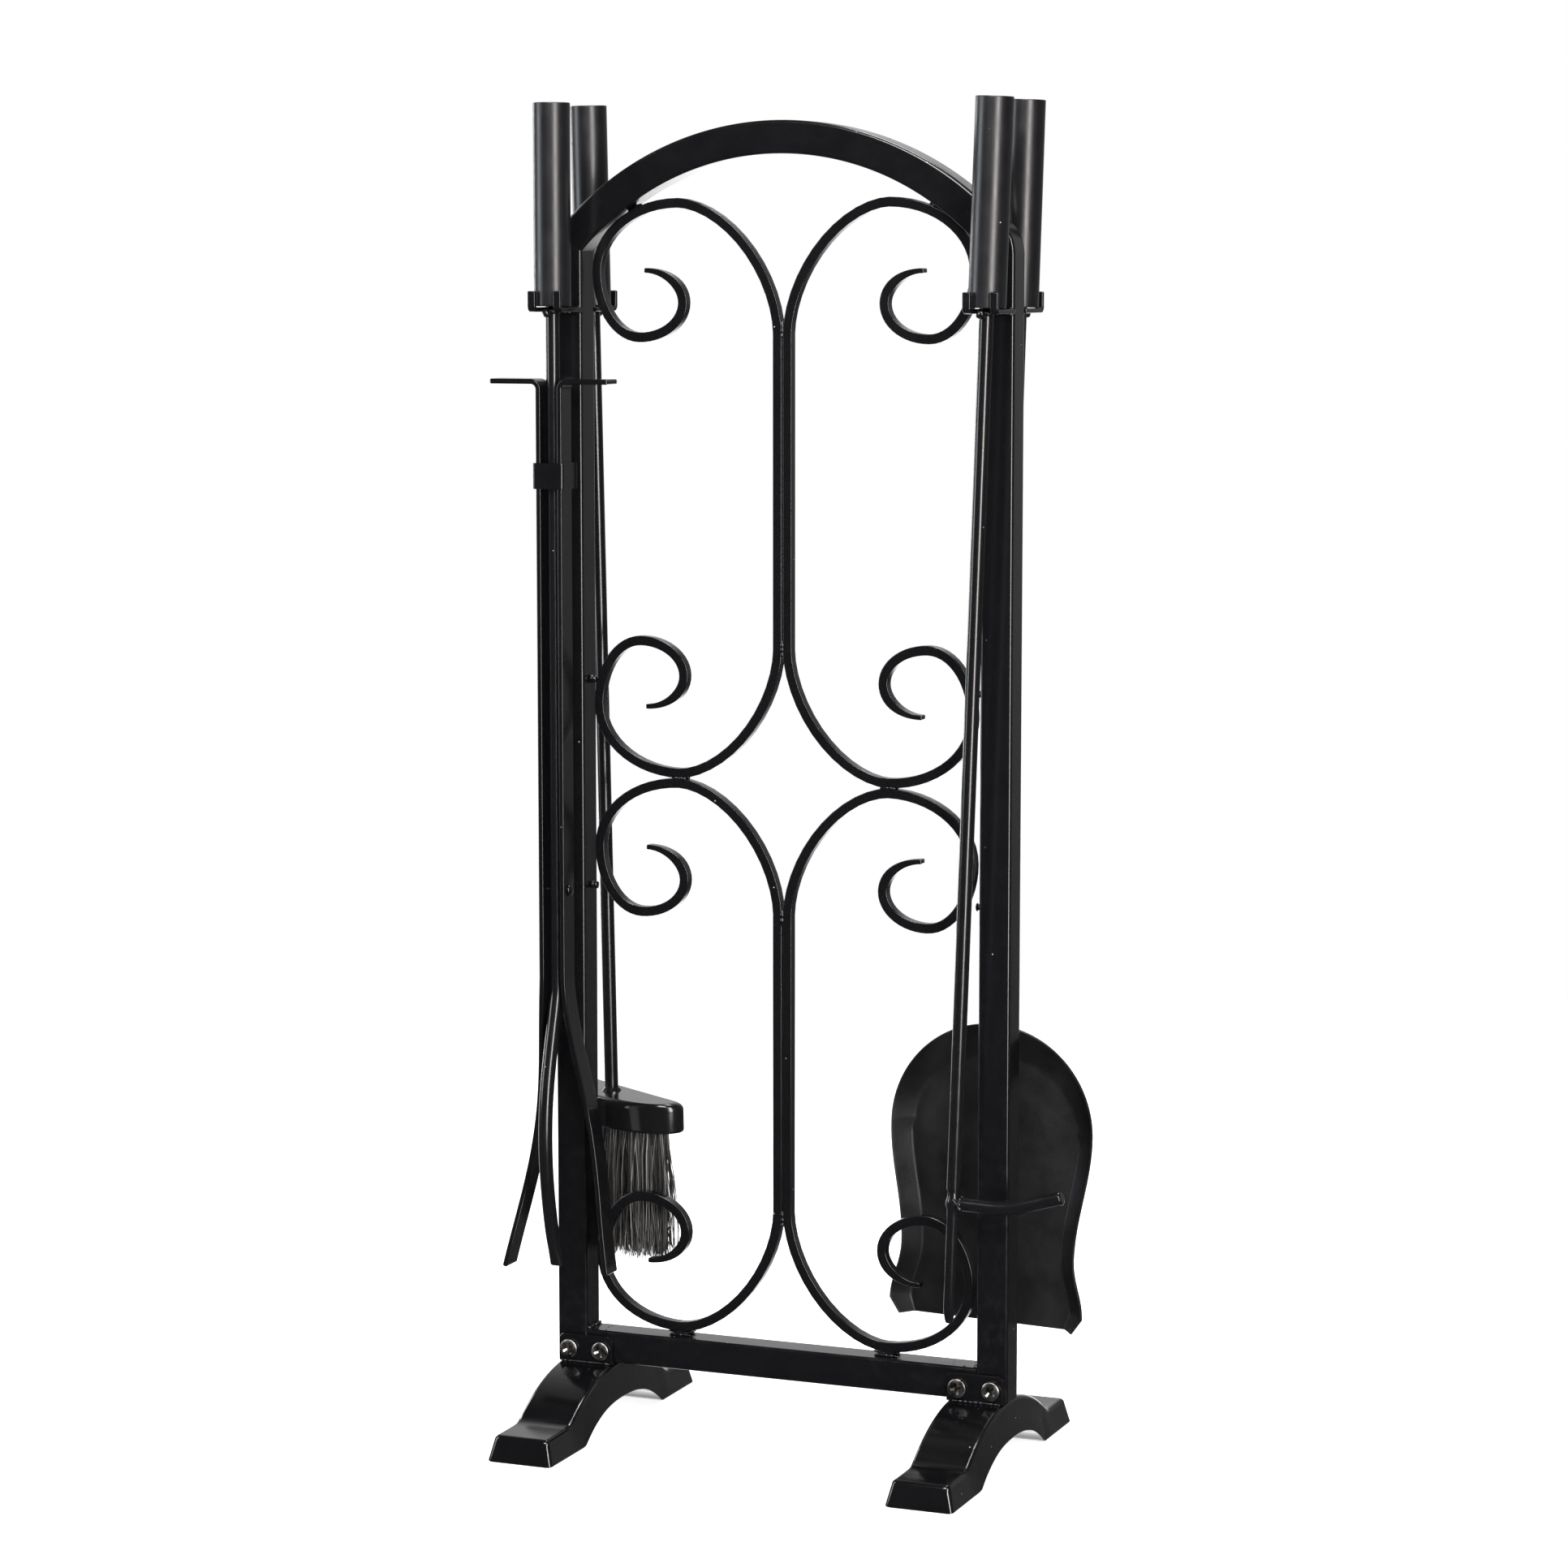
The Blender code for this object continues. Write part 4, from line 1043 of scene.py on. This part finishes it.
def bristles(count):
    shape, top = bmesh.new(), -BLOCK_DROP - BLOCK_TALL + 1 * MM
    layer = shape.verts.layers.float.new("shade")
    while count:
        x, y = dice.uniform(-54, 54) * MM, dice.uniform(-12, 9) * MM
        if not inside(x, y, 7 * MM):
            continue
        count -= 1
        tuft = Vector((noise.noise(Vector((x, y, 0)) * 170), noise.noise(Vector((x, y, 5)) * 170), 0))
        stray = dice.random() < 0.3
        lean = Vector((x * 0.03, y * 0.2 - 0.4 * MM, 0)) + tuft * 4 * MM
        lean += Vector((dice.gauss(0, 1), dice.gauss(0, 1), 0)) * (5.4 if stray else 1.6) * MM
        length = BRISTLE * min(dice.uniform(0.86, 0.985) + 0.05 * tuft.x, 1.0)
        start, end = 0.34 * MM, dice.uniform(0.14, 0.24) * MM
        spin, shade = dice.uniform(0, math.tau), dice.random() ** 2 * (1.0 if stray else 0.6)
        curve = Vector((dice.gauss(0, 1), dice.gauss(0, 1), 0)) * (3.2 if stray else 1.3) * MM
        loops = []
        for step in range(6):
            share = step / 5
            sway = lean * share**1.5 + curve * math.sin(math.pi * share)
            while not inside(x + sway.x, y + sway.y, BRISTLE_MARGIN):
                sway *= 0.85
            middle = Vector((x, y, top - length * share)) + sway
            size = start + (end - start) * share
            ring = []
            for corner in range(3):
                angle = spin + math.tau * corner / 3
                vert = shape.verts.new(middle + Vector((math.cos(angle), math.sin(angle), 0)) * size)
                # Painted shade: the fibre's tone is cut to 0.6 at the block and rises to its full tone at
                # the tip.
                vert[layer] = shade * (0.6 + 0.4 * share)
                ring.append(vert)
            loops.append(ring)
        for here, there in zip(loops, loops[1:]):
            for i in range(3):
                j = (i + 1) % 3
                shape.faces.new((here[i], here[j], there[j], there[i]))
        shape.faces.new(loops[0])
        shape.faces.new(loops[-1][::-1])
    # The core's tone is left at 0, so it takes the darkest fibre colour: painted shade inside the tuft.
    core = [(10.5, 0.5), (9.5, -40), (8.5, -66), (11, -70)]
    loft([[Vector((x, y, top + z * MM)) for x, y in moon(inset * MM)] for inset, z in core], shape=shape)
    return shape


profile = [(ROD, -476 * MM), (ROD, -200 * MM), (ROD, 33.4 * MM), (0.8 * ROD, 34 * MM)]
piece("brush_shaft", turned(profile, 40), rods, "brush", ["brush_rod"], hang)
piece("brush_head", block(), block_paint, "brush", ["brush_block"], hang @ yaw)
flare = [(-0.1, -470.6), (2.2, -470.3), (1.4, -469.2), (0.1, -467.8)]
collar = turned([(ROD + out * MM, z * MM) for out, z in flare], 40, closed=True)
piece("brush_collar", collar, gloss, "brush", (), hang, 60)
shape = bristles(2600)
piece("brush_fibres", shape, fibre, "brush", ["brush_bristles"], hang @ yaw)
print("block", round(2000 * BLOCK_HALF, 1), "mm long, bristles", 1000 * BRISTLE, "mm")

# %% [markdown]
# ## The shovel
#
# The pan is pressed from 1.5 mm sheet: a flat floor, and a rim that slopes up on three sides
# with a rounded fold between them. It is made as a single skin and then given its thickness.
# The rod is hammered flat where it lies on the back of the pan, and two rivets hold it.

# %% Shovel
hang = hangs["shovel"]
RIM_Y, PAN_DEEP, PAN_SHEET = -1.5, 9.5, 1.5
PAN_HALF, WAIST_HALF, PAN_SHOULDER = 61.6, 53, 474


def pan_lines():
    """Half of the rim and of the floor's edge, as (x, drop) from the mouth to the top."""
    rim, floor = [(53.0, 589.0)], [(46.0, 589.0)]

    def ease(share):
        return 0.5 - 0.5 * math.cos(math.pi * share)

    flare = (580, 546, 59.2, WAIST_HALF, 12)
    waist = (546, PAN_SHOULDER, WAIST_HALF, PAN_HALF, 20)
    for low, high, before, after, steps in (flare, waist):
        for i in range(steps):
            x, drop = before + (after - before) * ease(i / steps), low + (high - low) * i / steps
            rim.append((x, drop))
            floor.append((x - 10.5, drop))
    for i in range(33):
        angle = math.pi / 2 * i / 32
        across, up = math.cos(angle), math.sin(angle)
        rim.append((PAN_HALF * across, PAN_SHOULDER - 62.3 * up))
        floor.append((0.8 * PAN_HALF * across, PAN_SHOULDER - 42.3 * up))
    return rim, floor


def pan():
    rim, floor = pan_lines()
    profile = [(0, 0), (0.05, 0.035), (0.11, 0.1), (0.5, 0.52)]
    profile += [(0.84, 0.88), (0.92, 0.95), (1.0, 0.985), (1.1, 1.0)]
    shape, rows = bmesh.new(), []
    for share, deep in profile:
        points = [(a[0] + (b[0] - a[0]) * share, a[1] + (b[1] - a[1]) * share) for a, b in zip(rim, floor)]
        y = (RIM_Y + PAN_DEEP * deep) * MM
        right = [shape.verts.new((x * MM, y, -drop * MM)) for x, drop in points]
        left = [shape.verts.new((-x * MM, y, -drop * MM)) for x, drop in points[:-1]]
        rows.append(right + left[::-1])
    for edge, base in zip(rows, rows[1:]):
        for i in range(len(edge) - 1):
            shape.faces.new((edge[i], edge[i + 1], base[i + 1], base[i]))
    base, half = rows[-1], len(floor) - 1
    for i in range(half - 1):
        j = len(base) - 1 - i
        shape.faces.new((base[i], base[i + 1], base[j - 1], base[j]))
    shape.faces.new((base[half - 1], base[half], base[half + 1]))
    bmesh.ops.recalc_face_normals(shape, faces=shape.faces)
    shape = modified(shape, "SOLIDIFY", thickness=PAN_SHEET * MM, offset=0.0, use_even_offset=True)
    return softened(shape, 0.35 * MM, 2, 50)


tongue = RIM_Y + PAN_DEEP + PAN_SHEET / 2 + 0.15 + 1.5
line, sizes = [], []
for i in range(49):
    drop = 360 + 92 * i / 48
    bend, press = smooth((drop - 374) / 34), smooth((drop - 384) / 26)
    line.append((tongue * bend, drop))
    sizes.append((ROD * (1 - press) + 1.5 * MM * press, ROD * (1 + 0.7 * press)))
path = down([(0, -34), (0, 100), (0, 250)] + line)
shape = round_bar(path, ACROSS, [(ROD, ROD)] * 3 + sizes, 0.7 * MM)
piece("shovel_shaft", shape, rods, "shovel", ["shovel_rod"], hang)
piece("shovel_tray", pan(), sheet, "shovel", ["shovel_pan"], hang, 28)
front, back = RIM_Y + PAN_DEEP - PAN_SHEET / 2, tongue + 1.5
for word, drop in (("upper", 436), ("lower", 446)):
    seat = Matrix.Translation((0, (front + back) / 2 * MM, -drop * MM))
    seat = hang @ (seat @ Matrix.Rotation(math.radians(90), 4, "X"))
    shape = rivet((back - front) / 2 * MM, 1.6 * MM, 3.2 * MM, 1.1 * MM)
    piece(f"shovel_stud_{word}", shape, sheet, "shovel", [f"shovel_rivet_{word}"], seat)
print("pieces made:", len(made))

# %% [markdown]
# ## Floor, light and camera
#
# Black gloss is only as good as what it reflects. The front of the room is left dim, so flat
# faces that look forwards stay black. Tall soft lights at the sides put the bright lines on
# the tube corners and the bands on the handles, a box high in front picks out the front edges,
# and a small one above lights the tops. Behind, to the left, the world brightens like a wall,
# which the bar's top and the arch's underside mirror. The floor fades out into a white world,
# which is dim to everything but the camera's own rays, so that it doesn't wash the black out.

# %% Floor and world
FLOOR_RADIUS, FADE_START = 1.7, 0.9
floor_look = Look("pale_floor")
grain = floor_look.cloud(30, 3)
floor_look.set("Base Color", floor_look.mix(grain, (0.84, 0.84, 0.845), (0.88, 0.88, 0.88)))
floor_look.set("Roughness", floor_look.between(grain, 0.3, 0.7, 0.6, 0.72))
away = floor_look.node("ShaderNodeVectorMath", {"operation": "LENGTH"}, {0: floor_look.place}, "Value")
floor_look.set("Emission Color", (1.0, 1.0, 1.0, 1.0))
floor_look.set("Emission Strength", 0.8)
floor_look.set("Alpha", floor_look.between(away, FADE_START, FLOOR_RADIUS, 1.0, 0.0))
disc = bmesh.new()
bmesh.ops.create_circle(disc, cap_ends=True, segments=96, radius=FLOOR_RADIUS)
floor_obj = shown(disc, "floor")
floor_obj.data.materials.append(floor_look.material)
floor_obj.location.z = -0.3 * MM
floor_obj.visible_glossy = False
floor_obj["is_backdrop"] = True

ROOM_FRONT, ROOM_BACK, ROOM_WALL = 0.05, 0.24, 0.6
world = bpy.data.worlds.new("studio")
bpy.context.scene.world = world
world.use_nodes = True
room = Graph(world.node_tree, "Background", "Generated")
axes = [room.node("ShaderNodeSeparateXYZ", None, {0: room.place}, axis) for axis in "XYZ"]
across, deep, height = axes
low = room.between(height, 0.04, -0.2)
behind = room.between(deep, 0.2, 0.95)
wall = behind * room.between(across, 0.15, -0.12)
dim = ROOM_FRONT + behind * ROOM_BACK * (1 - low * 0.85) + wall * (ROOM_WALL + low * 1.9)
seen = room.node("ShaderNodeLightPath", output="Is Camera Ray")
room.set("Color", (1.0, 1.0, 1.0, 1.0))
room.set("Strength", seen + (1 - seen) * dim)
print("floor", 2 * FLOOR_RADIUS, "m across, room from", ROOM_FRONT, "in front to", ROOM_BACK, "behind")

# %% Lights and camera
WARM, COOL = (1.0, 0.96, 0.93), (0.9, 0.95, 1.0)


def softbox(name, azimuth, distance, low, high, width, power, tint=(1, 1, 1)):
    """A soft light, in metres and watts, at an azimuth: 0 is in front, 90 to the right."""
    light = bpy.data.lights.new(name, "AREA")
    light.shape, light.size, light.size_y = "RECTANGLE", width, high - low
    light.energy, light.color = power, tint
    obj = bpy.data.objects.new(name, light)
    angle = math.radians(azimuth)
    obj.location = (distance * math.sin(angle), -distance * math.cos(angle), (low + high) / 2)
    obj.rotation_euler = (math.radians(90), 0, angle)
    obj.visible_camera = False
    bpy.context.scene.collection.objects.link(obj)
    return obj


softbox("right_box", 44, 1.8, -0.1, 1.7, 0.46, 50, WARM)
softbox("left_box", -64, 1.9, 0.2, 2.0, 0.6, 24, COOL)
softbox("left_edge", -118, 1.9, 0.0, 1.6, 0.3, 12)
softbox("front_box", 6, 1.3, 1.25, 2.15, 0.8, 40)
top = softbox("top_box", 10, 0.5, 2.1, 2.7, 0.6, 26)
top.location, top.rotation_euler = (0.1, 0.5, 2.3), (0, 0, 0)

CAMERA_AT, CAMERA_AIM = (0.9285, -2.2943, 0.6898), Vector((0, 0, 0.3801))
camera = bpy.data.objects.new("camera", bpy.data.cameras.new("camera"))
bpy.context.scene.collection.objects.link(camera)
camera.location = CAMERA_AT
aim = CAMERA_AIM - camera.location
camera.rotation_euler = aim.to_track_quat("-Z", "Y").to_euler()
camera.data.lens, camera.data.sensor_width = 98.91, 36
camera.data.shift_y = 0.0112
camera.data.clip_start = 0.05
bpy.context.scene.camera = camera
bpy.context.scene.view_settings.view_transform = "Standard"
print(f"camera {aim.length:.2f} m away, {camera.data.lens} mm lens")

# %% [markdown]
# ## Check the size and finish
#
# The finer pieces must stay inside the box of the imported model, so both boxes are written
# down side by side before the frame makes its own checks.

# %% Sizes
visual_box = [list(corner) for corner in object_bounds()]
for axis in range(3):
    cad, visual = (1000 * (box[1][axis] - box[0][axis]) for box in (cad_box, visual_box))
    print("XYZ"[axis], f"packed {cad:.1f} mm, made {visual:.1f} mm")
